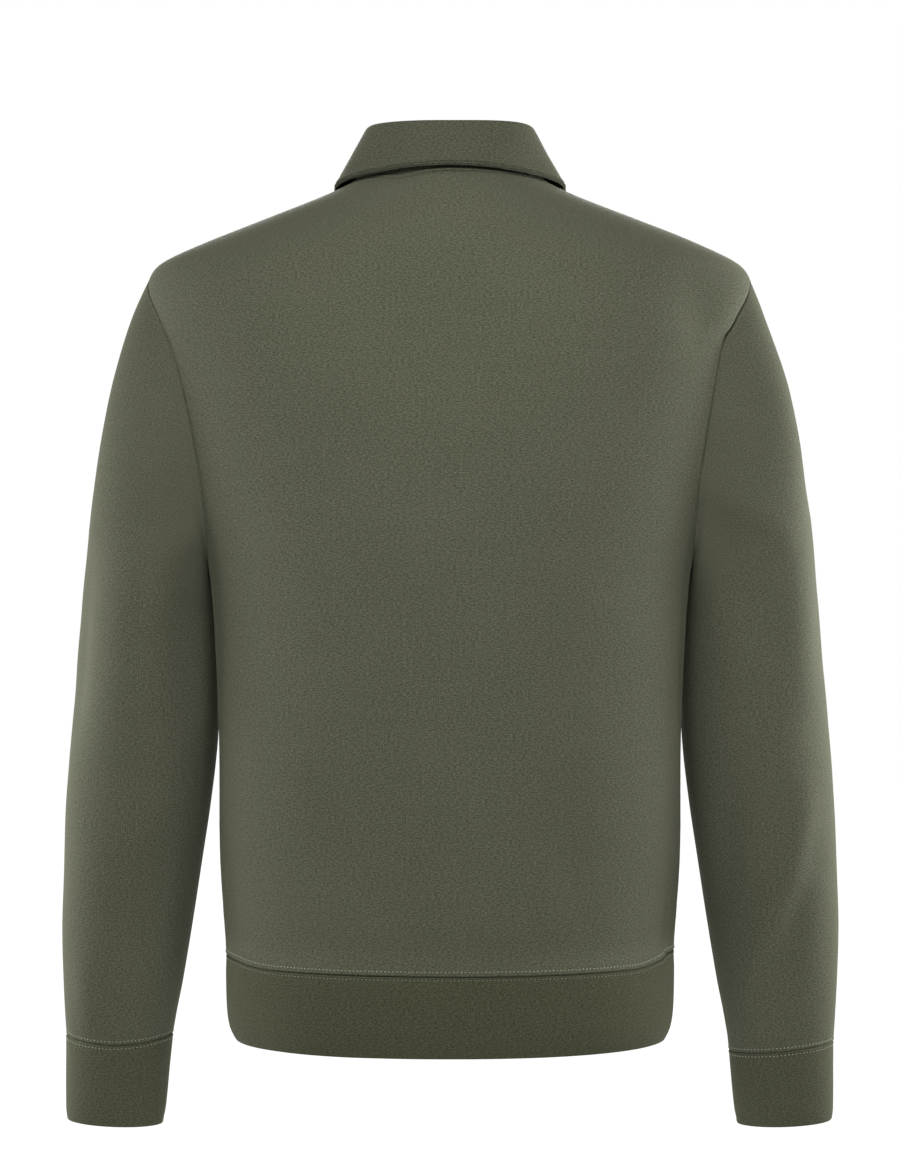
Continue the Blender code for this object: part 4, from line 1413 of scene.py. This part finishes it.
worn(placket_under.object, "placket_under")

placket_lines = [line_beside(placket_upper, edge, PLACKET_STITCH) for edge in ("left", "right")]
placket_lines += [line_beside(placket_upper, "below", distance)[3:-3] for distance in (PLACKET_STITCH, BOX_HEIGHT)]
placket_stitches = sewn("placket_stitches", placket_lines, PLACKET_TOPSTITCH, channel_shade_thread)


def buttonhole_line(height, across):
    """One side of a buttonhole, as points on the upper facing and directions for the bars of its close stitching."""
    line = []
    for k in range(BUTTONHOLE_BARS + 1):
        level = height - BUTTONHOLE_HALF + 2 * BUTTONHOLE_HALF * k / BUTTONHOLE_BARS
        point = on_body(across, level, "front", PLACKET_LIFT - BUTTONHOLE_SUNK)
        line.append((point, body_normal(across, level, "front")))
    return line


buttonhole_sides = (-BUTTONHOLE_SIDE, BUTTONHOLE_SIDE)
buttonhole_lines = [buttonhole_line(height, across) for height in BUTTON_HEIGHTS for across in buttonhole_sides]
olive_thread = spun("olive_thread", OLIVE_THREAD)
buttonholes = sewn("buttonhole_stitches", buttonhole_lines, BUTTONHOLE_STITCH, olive_thread)


# --------------------------------------
# Buttons: two moulded plastic discs with a raised rim and four holes, each sewn through the holes with crossed
# threads onto a short thread shank.

ButtonPoint = namedtuple("ButtonPoint", "radius level")
BUTTON = table(
    ButtonPoint,
    (0.0000, 0.0003),
    (0.0044, 0.0003),
    (0.0052, 0.0006),
    (0.0055, 0.0012),
    (0.0054, 0.0019),
    (0.0049, 0.0025),
    (0.0043, 0.0026),
    (0.0038, 0.0023),
    (0.0034, 0.0019),
    (0.0000, 0.0018),
)
BUTTON_HOLE_PLACE = 0.000994
BUTTON_HOLE_RADIUS = 0.00062
BUTTON_RELIEF = (0.15, 0.00005)
DRILL_LENGTH = 0.006
DRILL_MIDDLE = 0.001
SHARP_EDGE = radians(40)
THREAD_LEVEL = 0.0019
THREAD_RISES = (0.0004, 0.0008)
THREAD_END_RISE = 0.0002
BUTTON_SHANK = 0.0002
BUTTON_OLIVE = ((0.0140, 0.0145, 0.0090, 1.0), (0.0300, 0.0305, 0.0200, 1.0))
BUTTON_GLOSS = 0.10
BUTTON_THREAD = Stitch(0.0034, 0.00030, 0.0100)

plastic = Finish("button_plastic_moulded")
plastic_place = plastic.object_place()
swirl = plastic.cloud(plastic_place, 260.0, 3.0)
scuff = plastic.cloud(plastic_place, 3200.0, 2.0)
plastic_colour = plastic.mix(swirl * 1.6 - 0.3, *BUTTON_OLIVE)
plastic.fill_shader({"Base Color": plastic_colour, "Roughness": scuff * 0.2 + 0.4})
plastic.fill_shader({"Normal": plastic.relief(*BUTTON_RELIEF, scuff), "Specular IOR Level": BUTTON_GLOSS})


def drilled(disc, places):
    """Cuts an upright hole through a button's disc at each of its places."""
    bm = bmesh.new()
    radius = BUTTON_HOLE_RADIUS
    for place in places:
        there = Matrix.Translation((*place, DRILL_MIDDLE))
        bmesh.ops.create_cone(
            bm, cap_ends=True, segments=20, radius1=radius, radius2=radius, depth=DRILL_LENGTH, matrix=there
        )
    drill = made_from(bm, "drill")
    holes = disc.modifiers.new("holes", "BOOLEAN")
    holes.operation = "DIFFERENCE"
    holes.object = drill
    bpy.context.view_layer.update()
    mesh = bpy.data.meshes.new_from_object(disc.evaluated_get(bpy.context.evaluated_depsgraph_get()))
    disc.modifiers.clear()
    bpy.data.objects.remove(drill)
    return mesh


for number, height in enumerate(BUTTON_HEIGHTS, 1):
    foot = on_body(0.0, height, "front", PLACKET_LIFT + BUTTON_SHANK)
    turn = body_normal(0.0, height, "front").to_track_quat("Z", "Y").to_matrix().to_4x4()
    upright = Matrix.Translation(foot) @ turn
    bm = bmesh.new()
    outline = [bm.verts.new((point.radius, 0, point.level)) for point in BUTTON]
    edges = [bm.edges.new(pair) for pair in zip(outline, outline[1:])]
    bmesh.ops.spin(bm, geom=outline + edges, cent=(0, 0, 0), axis=(0, 0, 1), angle=2 * pi, steps=48, use_merge=True)
    bmesh.ops.remove_doubles(bm, verts=bm.verts, dist=1e-6)
    bmesh.ops.recalc_face_normals(bm, faces=bm.faces)
    disc = made_from(bm, f"button_{number}_disc")
    places = [(x * BUTTON_HOLE_PLACE, y * BUTTON_HOLE_PLACE) for x, y in ((-1, -1), (1, -1), (1, 1), (-1, 1))]
    disc.data = drilled(disc, places)
    disc.data.transform(upright)
    disc.data.shade_smooth()
    disc.data.set_sharp_from_angle(angle=SHARP_EDGE)
    disc.data.materials.append(plastic.material)
    worn(disc, f"button_{number}")
    normal = upright.to_3x3() @ UP
    crossing = []
    for rise, first, last in zip(THREAD_RISES, places[:2], places[2:]):
        start, end = (upright @ Vector((*hole, THREAD_LEVEL)) for hole in (first, last))
        crossing.append([(start.lerp(end, 0.5) + normal * rise, normal), (end + normal * THREAD_END_RISE, normal)])
    sewn(f"button_{number}_threads", crossing, BUTTON_THREAD, olive_thread)
